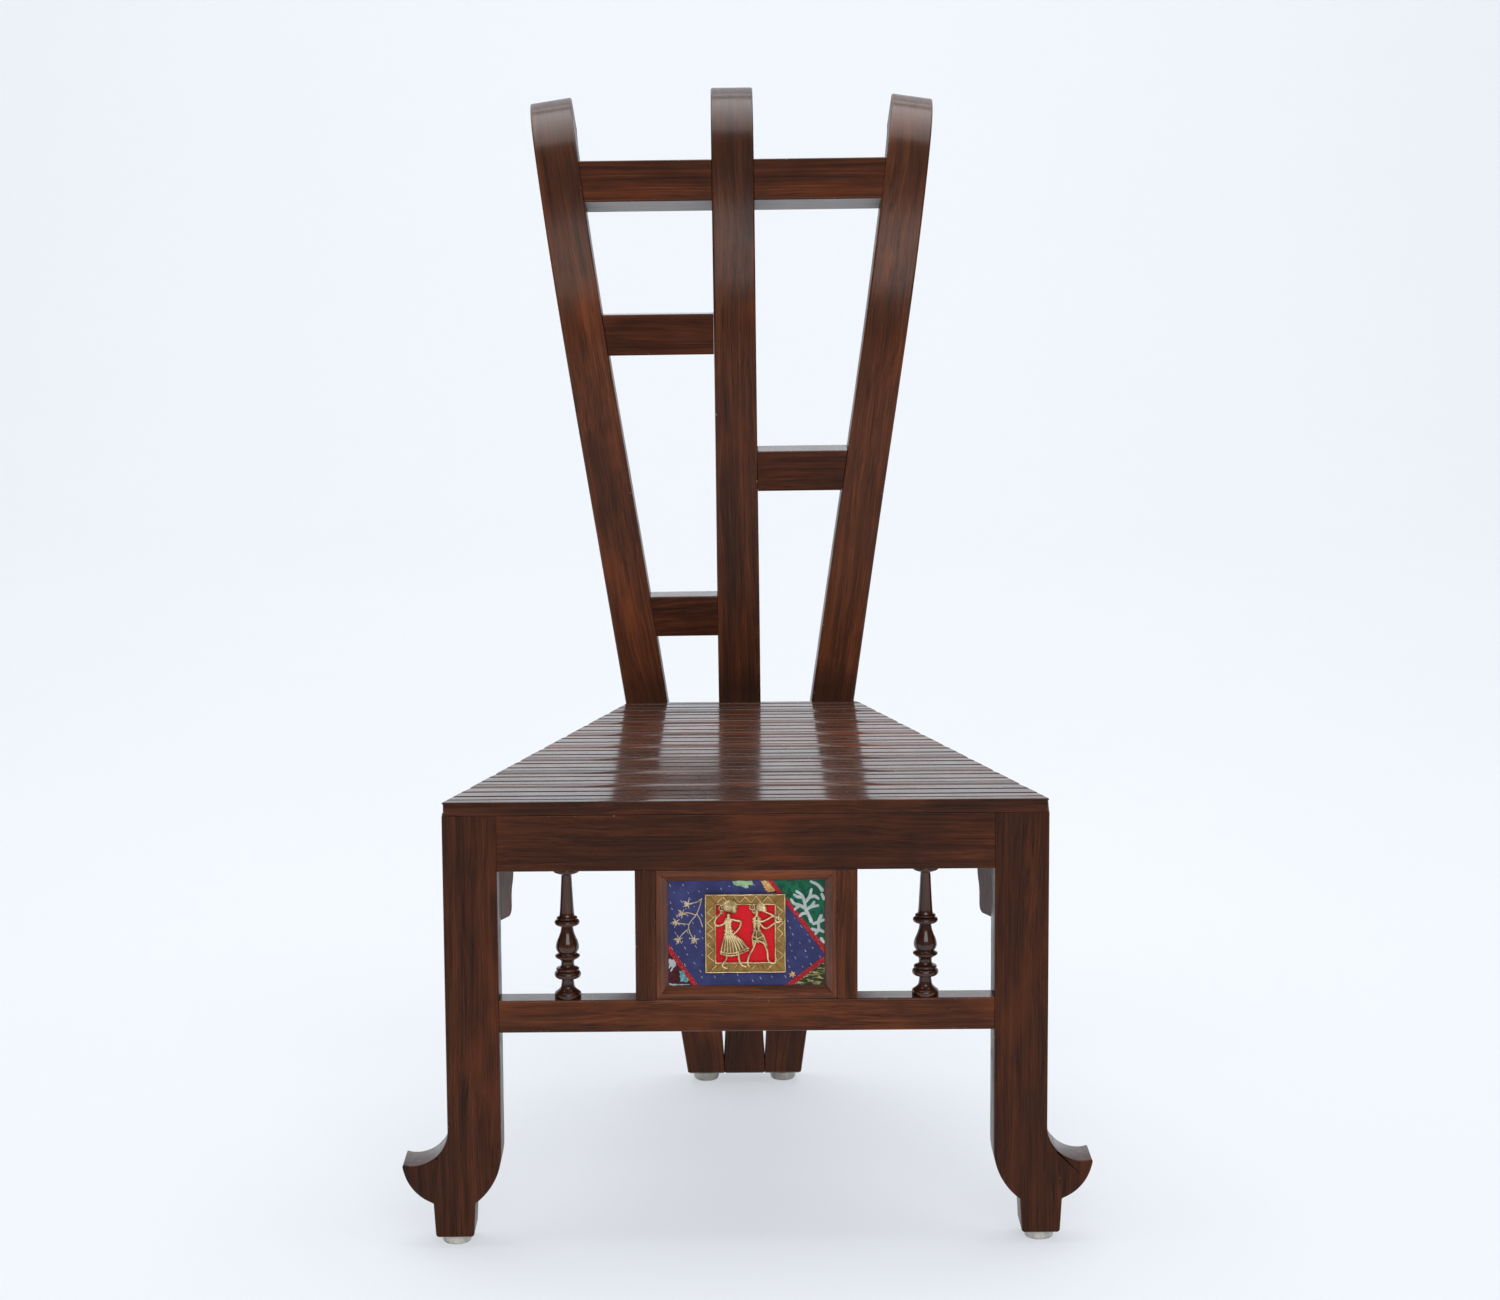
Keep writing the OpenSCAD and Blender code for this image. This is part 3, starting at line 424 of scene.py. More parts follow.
# ---------------------------------------------------------------- materials

def sum_of(operation, swap=False):
    """A method that takes a value and another operand through one Math node."""
    def add_node(self, other=0.0):
        a, b = (other, self) if swap else (self, other)
        return Value(node(self.tree, "Math", {0: a, 1: b}, operation=operation))
    return add_node


class Value:
    """One output of a shader node. Sums written with it become Math nodes of its tree."""

    __add__, __sub__, __mul__ = (sum_of(name) for name in ("ADD", "SUBTRACT", "MULTIPLY"))
    __rsub__, __rtruediv__ = sum_of("SUBTRACT", True), sum_of("DIVIDE", True)
    __abs__, sine, highest = (sum_of(name) for name in ("ABSOLUTE", "SINE", "MAXIMUM"))

    def __init__(self, made, key=0):
        self.socket, self.tree = made.outputs[key], made.id_data

    def held(self):
        """The same sum, held between 0 and 1."""
        self.socket.node.use_clamp = True
        return self


def fill(made, inputs=(), **named):
    """Links values to a node's inputs, given by number or name, and puts numbers on them."""
    for key, value in {**dict(inputs), **named}.items():
        socket = made.inputs[key.replace("_", " ") if isinstance(key, str) else key]
        if isinstance(value, Value):
            made.id_data.links.new(value.socket, socket)
        else:
            socket.default_value = value


def node(tree, kind, inputs=(), **settings):
    """Adds a shader node, sets it up, and links or fills its inputs."""
    made = tree.nodes.new("ShaderNode" + kind)
    for key, value in settings.items():
        setattr(made, key, value)
    fill(made, inputs)
    return made


def xyz(x, y=0.0, z=0.0):
    """Three values or numbers as one vector."""
    return Value(node(x.tree, "CombineXYZ", {0: x, 1: y, 2: z}))


def part(vector, index):
    """One of a vector's three numbers."""
    return Value(node(vector.tree, "SeparateXYZ", {0: vector}), index)


def on_vectors(operation, a, b):
    """One sum on two vectors, number by number."""
    return Value(node(a.tree, "VectorMath", {0: a, 1: b}, operation=operation))


def ramp(value, low, high, a=0.0, b=1.0):
    """Runs smoothly from a to b as value goes from low to high, and is level beyond them."""
    return Value(node(value.tree, "MapRange", {0: value, 1: low, 2: high, 3: a, 4: b},
                      interpolation_type="SMOOTHSTEP"))


def blend(share, a, b, how="MIX"):
    """Mixes two colours by a share."""
    tree = next(v for v in (share, a, b) if isinstance(v, Value)).tree
    return Value(node(tree, "Mix", {0: share, 6: a, 7: b}, data_type="RGBA", blend_type=how,
                      clamp_factor=True), 2)


def scaled(vector, scale, place=(0, 0, 0), turn=(0, 0, 0)):
    """A pattern's coordinates stretched, turned and moved on the piece."""
    return Value(node(vector.tree, "Mapping", {0: vector, 1: place, 2: turn,
                                               3: np.broadcast_to(scale, 3).tolist()}))


def noise(vector, scale, detail=3.0, rough=0.55, distortion=0.0):
    """Noise between 0 and 1 at the given coordinates, stretched first if a scale is given."""
    place = vector if scale is None else scaled(vector, scale)
    return Value(node(vector.tree, "TexNoise", {"Vector": place, "Scale": 1.0,
                                                "Detail": detail, "Roughness": rough,
                                                "Distortion": distortion}))


def group(name, inputs, outputs):
    """An empty shader node group with named sockets: a vector called Place, then numbers."""
    made = bpy.data.node_groups.new(name, "ShaderNodeTree")
    made.interface.new_socket("Place", in_out="INPUT", socket_type="NodeSocketVector")
    for label, default in inputs.items():
        made.interface.new_socket(label, in_out="INPUT",
                                  socket_type="NodeSocketFloat").default_value = default
    for label in outputs:
        made.interface.new_socket(label, in_out="OUTPUT", socket_type="NodeSocketFloat")
    come = made.nodes.new("NodeGroupInput")
    return [Value(come, label) for label in ("Place", *inputs)], made.nodes.new("NodeGroupOutput")


def group_wood_grain():
    """Figure of the wood: streaks, fine fibres, open pores and slow cloudy patches.

    The incoming place is in millimetres with the grain along its third number.
    """
    (place, streak_w, pore_w), go = group("wood grain", {"Streak Width": 9.0, "Pore Width": 0.7},
                                          ["Streak", "Fibre", "Pore", "Cloud", "Warm"])
    bend = noise(place, (0.010, 0.010, 0.0035), 2, 0.5)
    bent = on_vectors("ADD", place, xyz(bend * 26.0, bend * -18.0))
    wide, fine = 1.0 / streak_w, 1.0 / pore_w
    streaks = on_vectors("MULTIPLY", bent, xyz(wide, wide, wide * 0.022))
    pores = on_vectors("MULTIPLY", bent, xyz(fine, fine, fine * 0.04))
    fill(go, Streak=noise(streaks, None, 5, 0.62, 0.15),
         Fibre=noise(bent, (0.85, 0.85, 0.014), 4, 0.62),
         Pore=ramp(noise(pores, None, 2, 0.5), 0.60, 0.72),
         Cloud=noise(place, (0.021, 0.021, 0.008), 3, 0.55),
         Warm=noise(scaled(place, (0.028, 0.028, 0.011), (7, 3, 5)), None, 2, 0.5))
    return go.id_data


def group_worn_edge():
    """Wear along edges: the edge mask broken up by patchy and fine noise."""
    (place, edge, amount), go = group("worn edge", {"Edge": 0.0, "Amount": 0.5}, ["Wear"])
    both = noise(place, 0.035, 3, 0.6) * 0.75 + noise(place, 0.45, 3, 0.7) * 0.5
    chipped = ramp(both - (1.05 - amount * 0.6), -0.04, 0.10)
    fill(go, Wear=(chipped * edge).held())
    return go.id_data


def group_smudges():
    """Fine dust, rub marks and polish marks that change how shiny a surface is."""
    (place, size), go = group("smudges", {"Size": 30.0}, ["Smudge", "Dust"])
    share = 1.0 / size
    rubbed = on_vectors("MULTIPLY", place, xyz(share, share, share))
    fill(go, Smudge=noise(rubbed, None, 4, 0.6, 0.6),
         Dust=ramp(noise(place, 0.33, 1, 0.5), 0.74, 0.78))
    return go.id_data


def group_weave():
    """Plain weave: two sets of threads that pass over and under each other.

    Each thread is a sine across its own width, and the product of the two directions' signs
    says which one lies on top. Place is in millimetres on the cloth.
    """
    (place, thread), go = group("plain weave", {"Thread": 0.45}, ["Height", "Thread"])
    wobble, turns = noise(place, 0.25, 2, 0.5) * 0.3, math.pi / thread
    sx, sy = (((part(place, i) + wobble) * turns).sine() for i in (0, 1))
    over = sx * sy
    fill(go, Height=over * 0.25 + abs(sx).highest(abs(sy)) * 0.6, Thread=ramp(over, -0.5, 0.5))
    return go.id_data


GROUPS = {}


def use(tree, name, **inputs):
    """Places a shared node group in a material and returns its outputs by name."""
    makers = {"wood grain": group_wood_grain, "worn edge": group_worn_edge,
              "smudges": group_smudges, "plain weave": group_weave}
    if name not in GROUPS:
        GROUPS[name] = makers[name]()
    made = node(tree, "Group", node_tree=GROUPS[name])
    fill(made, **inputs)
    return {socket.name: Value(made, socket.name) for socket in made.outputs}


def start(name, **sockets):
    """A new material with its Principled shader; plain numbers go on the shader's sockets."""
    material = bpy.data.materials.new(name)
    material.use_nodes = True
    shader = material.node_tree.nodes["Principled BSDF"]
    fill(shader, **sockets)
    return material, material.node_tree, shader


def to_bump(shader, height, strength, distance):
    """Sends a height to the shader's Normal through a Bump node."""
    fill(shader, Normal=Value(node(shader.id_data, "Bump", {
        "Height": height, "Strength": strength, "Distance": distance})))


def attribute(tree, name, kind="Vector"):
    """One of the piece's own attributes, stored on its points."""
    return Value(node(tree, "Attribute", attribute_name=name), kind)


def object_place(tree, scale=1000, turn=(0, 0, 0)):
    """Object coordinates, in millimetres unless another scale is given."""
    return scaled(Value(node(tree, "TexCoord"), "Object"), scale, turn=turn)


def rgba(value, gain=1.0, plus=0.0):
    """A colour's first three numbers times gain, which may be three numbers, and alpha 1."""
    return [*np.minimum(np.multiply(value[:3], gain) + plus, 1.0).tolist(), 1.0]


def rosewood(name, finish, gain=1.0, red=1.0, streak=9.0, wear=0.5, shine=0.5, cad=None,
             top=None, sunk=None, polish=0.12, gloss=0.95, flank=1.0):
    """Polished rosewood: colours run dark to light over the streaks, and pores are dark and sunk.

    Worn edges are lighter and duller. Places whose edge value is below zero take the colour
    sunk and lose their polish: on the seat slats this is painted shade in the grooves, under
    the noses and in the gaps between slats, and on the back rails' undersides it is pale grey,
    partly for their dusty bare wood and partly a painted reflection of the pale floor. shine is
    the polish on faces that look forwards or back, which were rubbed flat, and gloss the
    polish on the others, of which side faces keep the share flank; polish is its roughness.
    cad gives the grain's direction on a packed node, whose place is read from Object
    coordinates instead of the grain attribute. When top is given, the wood above that height,
    in metres, runs darker, and a band just above the seat is darkened as painted shade where
    the posts meet it.
    """
    material, tree, shader = start(name, Coat_Roughness=polish, Specular_IOR_Level=0.1)
    place = attribute(tree, "grain") if cad is None else object_place(tree, turn=cad)
    edge = attribute(tree, "edge", "Fac")
    grain = use(tree, "wood grain", Place=place, Streak_Width=streak, Pore_Width=0.7)
    light, mid, dark = (rgba(col, (gain * red, gain, gain)) for col in (
        finish.wood_light, finish.wood_mid, finish.wood_dark))
    figure = grain["Streak"] * 0.5 + grain["Fibre"] * 0.5
    body = blend(ramp(figure, 0.32, 0.54), dark, mid)
    body = blend(ramp(figure, 0.47, 0.72), body, light)
    body = blend(ramp(grain["Warm"], 0.50, 0.75, 0.0, 0.4), body, rgba(light, (1.2, 1.0, 0.75)))
    body = blend(ramp(grain["Cloud"], 0.35, 0.70, 0.0, 0.45), body, dark)
    body = blend(grain["Pore"] * 0.5, body, rgba(dark, 0.35))
    if top is not None:
        height = part(Value(node(tree, "TexCoord"), "Object"), 2)
        body = blend(ramp(height, top, top + 0.09, 0.0, 0.5), body, rgba(dark, 0.7))
        # Painted shade: a darker band on the posts just above the seat, where they meet it
        near = abs(height - (SEAT_TOP + 0.004))
        body = blend(ramp(near, 0.008, 0.045, 0.6, 0.0), body, rgba(dark, 0.8))
    normal = Value(node(tree, "NewGeometry"), "Normal")
    coat = ramp(abs(part(normal, 1)), 0.6, 0.97, gloss, shine)
    if flank < 1:
        coat = ramp(abs(part(normal, 0)), 0.7, 0.95, 1.0, flank) * coat
    worn = use(tree, "worn edge", Place=place, Edge=edge, Amount=wear)["Wear"]
    # Painted shade in the slats' grooves, under their noses and in their gaps; on the back rails'
    # undersides, dusty bare wood with a painted reflection of the pale floor
    if sunk:
        deep = (edge * -1.0).held()
        body = blend(deep * ramp(grain["Fibre"], 0.3, 0.6, 0.7, 1.0), body, [*sunk, 1.0])
        coat = (1.0 - deep) * coat
    body = blend(worn * 0.5, body, rgba(light, 1.6, 0.006))
    marks = use(tree, "smudges", Place=place, Size=38.0)
    nick = (marks["Dust"] * ramp(edge, 0.4, 0.9)).held()
    fill(shader, Coat_Weight=coat, Base_Color=blend(nick, body, (0.30, 0.22, 0.18, 1.0)),
         Roughness=ramp(marks["Smudge"], 0.3, 0.75, 0.30, 0.46) + (worn + grain["Pore"]) * 0.18)
    to_bump(shader, grain["Fibre"] * 0.25 - (grain["Pore"] * 0.5 + worn * 0.5), 0.45, 0.0002)
    return material


# ---------------------------------------------------------------- front of the chair

# Top of the legs and of the apron: the underside of slats that are 13 mm thick
FRAME_TOP = SEAT_TOP * 1000 - 13
# How far the block under the curl stands out past the leg's outer face, and its underside
BLOCK_OUT, BLOCK_LOW = 14, 10.5
SIDES = ((-1, "left"), (1, "right"))


def arc(centre, r, a0, a1, steps):
    """Points on a circle from angle a0 to a1, in degrees."""
    a = np.radians(np.linspace(a0, a1, steps + 1))
    return np.stack([centre[0] + r * np.cos(a), centre[1] + r * np.sin(a)], 1)


def leg_outlines(front, top):
    """Two outlines of a front leg, u outwards from its outer face and z up: the leg and its toe.

    The toe is a lump glued on along a line from the hollow down to the block's outer top, as
    the real one is. Arcs: a hollow of hollow_r, the toe's round of toe_r, the heel of heel_r.
    """
    leg_w, toe_r, hollow_r, heel_r, block_w = mm(front, "leg_w", "toe_r", "hollow_r", "heel_r",
                                                 "block_w")
    hollow = arc((hollow_r, 113), hollow_r, 180, 285, 22)
    end = math.degrees(math.acos(15 / toe_r))
    toe = arc((-1, 84.5), toe_r, -7, -end, 24)
    taper, r = 1.5, 3
    corner = arc((BLOCK_OUT - taper - r, BLOCK_LOW + r), r, 0, -90, 4)
    inner = arc((BLOCK_OUT - block_w + taper + r, BLOCK_LOW + r), r, -90, -180, 4)
    mid = heel_r - leg_w
    turn = 180 + math.degrees(math.acos((mid - (BLOCK_OUT - block_w)) / heel_r))
    heel = arc((mid, 92.5), heel_r, turn, 180, 20)
    split = 9
    body = np.concatenate([[[-leg_w, top], [0, top]], hollow[:split + 1], toe[-1:], corner,
                           inner, heel])
    lump = np.concatenate([hollow[split:], toe])
    return body, lump, split


def front_leg(side, word, front, wood):
    """A leg: the outline of leg_outlines carried leg_d deep, with the toe's lump beside it."""
    half, leg_d, soft = mm(front, "front_w", "leg_d", "softness")
    half /= 2
    body, lump, split = leg_outlines(front, FRAME_TOP)

    def place(p, q, v):
        return np.stack([side * (half + p), v + np.zeros_like(p), q], -1)

    r_body = np.full(len(body), soft)
    r_body[split + 2:split + 4] = 0.35
    r_body[:2] = 0.5
    r_lump = np.full(len(lump), soft)
    r_lump[0] = r_lump[-1] = 0.35
    tip = len(lump) - 25
    r_lump[tip - 2:tip + 3] = 1.1, 0.7, 0.45, 0.7, 1.1
    shells = [plate(body, leg_d, place, r_body, seed=3 + side),
              plate(lump, leg_d, place, r_lump, seed=8 + side)]
    make_piece(f"front_leg_{word}_shaped", shells, wood, [f"front_leg_{word}"], 40)


def plain_board(low, high, axis, r=1.4, seed=0, rows=8):
    """A straight board between two corners, with its grain along the given axis."""
    low, high = np.array(low, float), np.array(high, float)
    size, mid = high - low, (high + low) / 2
    a, b = [i for i in range(3) if i != axis]

    def place(u, v, s):
        out = np.zeros(u.shape + (3,))
        out[..., a] = mid[a] + u
        out[..., b] = mid[b] + v
        out[..., axis] = low[axis] + s
        return out

    return board(size[a], size[b], size[axis], place, r, 0.5, rows, seed, 0.1)


class CHAIR_OT_front_frame(bpy.types.Operator):
    """Makes the two front legs, the apron and the lower rail"""
    bl_idname = "chair.front_frame"
    bl_label = "Front legs and rails"

    def execute(self, context):
        front, look = context.scene.chair_front, context.scene.chair_finish
        legs = rosewood("rosewood_legs", look, 0.60, 1.0, 7.0, 0.4, 0.1, gloss=0.5, flank=0.3)
        rails = rosewood("rosewood_apron", look, 0.64, 1.0, 6.0, 0.4, 0.1)
        low = rosewood("rosewood_lower_rail", look, 1.0, 0.98, 6.0, 0.5, 0.1)
        for side, word in SIDES:
            front_leg(side, word, front, legs)
        width, leg_w, apron_h, apron_d, rail_z, rail_h, rail_d = mm(
            front, "front_w", "leg_w", "apron_h", "apron_d", "rail_z", "rail_h", "rail_d")
        inner = width / 2 - leg_w
        carve("front_apron", "board", plain_board(
            (-inner, 0, FRAME_TOP - apron_h), (inner, apron_d, FRAME_TOP), 0, 1.2, 21, 24), rails)
        carve("lower_rail", "board", plain_board(
            (-inner, 0, rail_z), (inner, rail_d, rail_z + rail_h), 0, 1.8, 27, 24), low)
        return {"FINISHED"}


# ---------------------------------------------------------------- seat

# Height of the rails under the seat, and depth of the rear one's middle
RAIL_H, REAR_RAIL_Y = 53, 481


def seat_edge(seat, front):
    """Half the seat's width as a function of the depth y: a straight line from front to back."""
    front_w, = mm(front, "front_w")
    back_w, seat_d = mm(seat, "back_w", "seat_d")
    return lambda y: (front_w + (back_w - front_w) * np.asarray(y) / seat_d) / 2


def slat_profile(seat, width, drop, back):
    """Section of a slat, depth and height: a quarter-ellipse nose, three grooves, a rear round.

    The nose is (n(1 - cos a), t - drop(1 - sin a)); each groove is a flat-bottomed dip whose
    sides run over a smooth step, and the first one is narrow. All lie nearer the front by back.
    """
    t, nose, gw, gh = mm(seat, "slat_t", "nose_l", "groove_w", "groove_h")
    nose -= back
    rise, fall = quarter(8)
    low_round = np.array([[0.9, 0], [0.25, 0.25], [0, 0.9]])
    front = np.stack([nose * rise, t - drop * fall], 1)
    step = np.linspace(0, 1, 5)
    dip = smooth(step)

    def groove(y, gw=gw, side=1.1):
        y -= back
        near = np.stack([y - gw / 2 + side * step, t - gh * dip], 1)
        far = np.stack([y + gw / 2 - side * step[::-1], t - gh * dip[::-1]], 1)
        return np.concatenate([[[y - gw / 2 - 0.5, t]], near, far, [[y + gw / 2 + 0.5, t]]])

    b = np.linspace(math.pi / 2, 0, 6)
    rear = np.stack([width - 2 * (1 - np.cos(b)), t - 2 * (1 - np.sin(b))], 1)
    top = np.concatenate([front, [[nose + 0.4, t]], groove(14.4, 3.4, 0.9), groove(29),
                          groove(48.4), [[width - 2.5, t]], rear])
    bottom = np.array([[width, 0.9], [width - 0.25, 0.25], [width - 0.9, 0]])
    return np.concatenate([low_round, top, bottom, [[width / 2, 0]]])


def slat_shell(index, seat, front):
    """A slat: its section carried from side to side, cut to the seat's slant at both ends.

    Each point of the section ends at the half width for its own depth, less a cut corner of
    4 mm (1 mm at the first slat's front), and the end is turned over by a quarter circle of
    1.6 mm.
    """
    seat_d, gap, t, drop = mm(seat, "seat_d", "slat_gap", "slat_t", "nose_drop")
    pitch = seat_d / seat.slat_count
    width = pitch - gap
    profile = slat_profile(seat, width, *((drop, 0) if index else (0.4, 4.5)))
    y, z = profile[:, 0], profile[:, 1]
    y0 = index * pitch
    edge = seat_edge(seat, front)
    corner = 4 if index else 1
    cut = np.maximum(0, corner - y) + np.maximum(0, y - (width - 4))
    half = edge(np.clip(y, corner, width - 4) + y0) - cut
    back, inset = end_steps(1.6, 4, 0.8)
    s = np.concatenate([back, np.full(21, np.nan), back[::-1]])[:, None]
    ins = np.concatenate([inset, np.zeros(21), inset[::-1]])[:, None]
    side = np.concatenate([-np.ones(len(back)), np.zeros(21), np.ones(len(back))])[:, None]
    middle = np.concatenate([np.zeros(len(back)), np.linspace(-0.94, 0.94, 21),
                             np.zeros(len(back))])[:, None]
    x = np.where(side == 0, middle * half, side * (half - np.nan_to_num(s)))
    yy = np.clip(y, ins, width - ins)
    zz = np.clip(z, np.minimum(ins, t / 2 - 0.5), t - ins)
    shape = np.broadcast_shapes(x.shape, yy.shape)
    x, yy, zz = (np.broadcast_to(v, shape) for v in (x, yy, zz))
    points = np.stack([x, yy + y0, zz + SEAT_TOP * 1000 - t], -1)
    # Edge values of the section's points: above zero the rims wear, below zero the colour is
    # painted shade, deepest in the grooves, at the nose's lower front, down the rear into the gap
    # and on the underside
    nose = [0.3, 0.35, 0.4, 0.5, 0.5, 0.4, 0.3, 0.2, 0.1]
    if index:
        nose = [-1, -0.7, -0.2, 0.4, 0.9, 1, 0.9, 0.6, 0.3]
    groove = [0.2, 0.3, -0.4, -1, -1, -1, -1, -1, -1, -0.4, 0.3, 0.2]
    rim = np.array([-0.6 if index else 0.3] * 3 + nose + [0.1] + groove * 3
                   + [0, 0.4, 0.5, 0.1, -0.5, -0.9, -1] + [-0.8] * 3 + [0])
    mask = np.where((ins > 0) & (rim > -0.3), 1.0, rim)
    return tube(points, grain_place(31 + index, yy, zz, x), mask)


def slanted_board(side, y0, y1, z0, z1, near, far, seat, front, seed):
    """A rail that follows the seat's slanting edge, between two insets measured square to it."""
    edge = seat_edge(seat, front)
    front_w, = mm(front, "front_w")
    back_w, seat_d = mm(seat, "back_w", "seat_d")
    angle = math.atan((front_w - back_w) / 2 / seat_d)
    mid, width = (near + far) / 2, far - near

    def place(u, v, s):
        y = y0 + s
        return np.stack([side * (edge(y) - (mid + u) / math.cos(angle)), y,
                         (z0 + z1) / 2 + v], -1)

    return board(width, z1 - z0, y1 - y0, place, 1.2, 0.5, 12, seed)


def bracket_outline():
    """Outline of a bracket: along the rail from the leg and down, with a quadratic curve."""
    t = np.linspace(0, 1, 17)[:, None]
    p0, p1, p2 = np.array([90.0, -3]), np.array([62.0, -7]), np.array([60.0, -27])
    sweep = (1 - t) ** 2 * p0 + 2 * t * (1 - t) * p1 + t * t * p2
    a = np.radians(np.linspace(0, -90, 7))
    foot = np.stack([55 - 8 * (1 - np.cos(a)), -64 + 8 * (1 + np.sin(a))], 1)
    step = [[58.4, -33], [56.2, -38], [55.2, -44]]
    return np.concatenate([[[0, 0], [90, 0]], sweep, step, foot, [[0, -62]]])


class CHAIR_OT_seat(bpy.types.Operator):
    """Makes the slats of the seat"""
    bl_idname = "chair.seat"
    bl_label = "Seat slats"

    def execute(self, context):
        seat, front = context.scene.chair_seat, context.scene.chair_front
        look = context.scene.chair_finish
        first = rosewood("rosewood_front_slat", look, 0.60, 1.0, 6.0, 0.4, 0.1)
        # The near-black colour below is painted shade in the grooves and gaps of the slats
        woods = [rosewood(f"rosewood_slats_{word}", look, gain, red, streak, 0.5, 0.9,
                          sunk=(0.004, 0.002, 0.002))
                 for word, gain, red, streak in (("warm", 1.0, 1.05, 6.0),
                                                 ("dark", 0.75, 1.0, 7.0))]
        for i in range(seat.slat_count):
            carve(f"seat_slat_{i + 1}", "reeded", slat_shell(i, seat, front),
                  woods[(i * 5 // 3) % 2] if i else first, 30)
        return {"FINISHED"}


class CHAIR_OT_seat_frame(bpy.types.Operator):
    """Makes the rails, the bearer and the brackets under the seat"""
    bl_idname = "chair.seat_frame"
    bl_label = "Frame under the seat"

    def execute(self, context):
        seat, front = context.scene.chair_seat, context.scene.chair_front
        look = context.scene.chair_finish
        wood = rosewood("rosewood_seat_frame", look, 0.9, 1.0, 8.0, 0.4, 0.15, flank=0.3)
        seat_d, slat_t = mm(seat, "seat_d", "slat_t")
        leg_d, = mm(front, "leg_d")
        top = SEAT_TOP * 1000 - slat_t
        edge = seat_edge(seat, front)
        angle = math.atan((edge(0) - edge(seat_d)) / seat_d)
        for side, word in SIDES:
            carve(f"side_rail_{word}", "board", slanted_board(
                side, leg_d, seat_d, top - RAIL_H, top, 6, 28, seat, front, 51 + side), wood)

            def place(p, q, v):
                y = leg_d + p * math.cos(angle) + (v - 10) * math.sin(angle)
                x = edge(leg_d) - 17 / math.cos(angle)
                x = x - p * math.sin(angle) + (v - 10) * math.cos(angle)
                return np.stack([side * x, np.maximum(y, leg_d + 0.02), top - RAIL_H + q], -1)

            shape = bracket_outline()
            shape[shape[:, 0] == 0, 0] = -4
            carve(f"bracket_{word}", "sawn", plate(shape, 20, place, 1.2, 57 + side), wood, 40)

        def rear(u, v, s):
            y = REAR_RAIL_Y + v
            reach = edge(y) - 28 / math.cos(angle)
            return np.stack([reach * (s / 100 - 1), y, top - RAIL_H / 2 + u], -1)

        carve("rear_seat_rail", "board", board(RAIL_H, 28, 200, rear, 1.2, 0.2, 8, 61), wood)
        carve("seat_bearer", "board", plain_board((-11, 28, top - 40), (11, 467, top), 1, 1.2,
                                                  63), wood)
        return {"FINISHED"}


# ---------------------------------------------------------------- back of the chair

# Height up to which an outer post's foot is planed flat against the middle post, and how far
# each facing side draws back from there, so that a slit stays open
FOOT_JOINT, SLIT = 52, 1.8
# Radius of a post's corners, and of the quarter circles at its top end
POST_R, TOP_R = 2.0, 9


class PostShape:
    """Side view of a post: a straight part, then arcs of given length and lean that follow on.

    Along an arc the lean runs evenly from one value to the next, y grows by the integral of
    its sine and z by that of its cosine. The straight part takes what is left of the height.
    """

    ARCS = ((260, -6.3), (130, 0.0), (210, 28.0), (101, 82.0))

    def __init__(self, back, seat_d):
        self.w, self.d = mm(back, "post_w", "post_d")
        state = np.array([[seat_d, 0.0, 0.0]])
        for reach, lean in self.ARCS:
            s0 = state[-1]
            f = np.linspace(0, 1, max(8, int(reach / 7)) + 1)[1:]
            a0, a1 = math.radians(s0[2]), math.radians(lean)
            r = reach / (a1 - a0)
            a = a0 + (a1 - a0) * f
            state = np.concatenate([state, np.stack([
                s0[0] + r * (math.cos(a0) - np.cos(a)), s0[1] + r * (np.sin(a) - math.sin(a0)),
                np.degrees(a)], 1)])
        self.state = state
        a = np.radians(state[:, 2])
        reach = np.concatenate([state[:, 1], state[:, 1] - self.d * np.sin(a)])
        self.straight = CHAIR_TOP * 1000 - reach.max()

    def face_y(self, z):
        """Depth of the front face at height z along the post."""
        return np.interp(z - self.straight, self.state[:, 1], self.state[:, 0])

    def face_lean(self, z):
        """Lean of the front face at height z along the post, in degrees."""
        return np.interp(z - self.straight, self.state[:, 1], self.state[:, 2])


def fan(points, lean):
    """Turns points about the line Y through the floor's middle by the whole back's tilt."""
    c, s = math.cos(lean), math.sin(lean)
    p = np.asarray(points)
    return np.stack([p[..., 0] * c - p[..., 2] * s, p[..., 1],
                     p[..., 0] * s + p[..., 2] * c], -1)


def post_foot(back):
    """Where an outer post's middle line meets the floor, so that it touches the middle post."""
    w, = mm(back, "post_w")
    return w / 2 + w / 2 / math.cos(back.splay) - FOOT_JOINT * math.tan(back.splay)


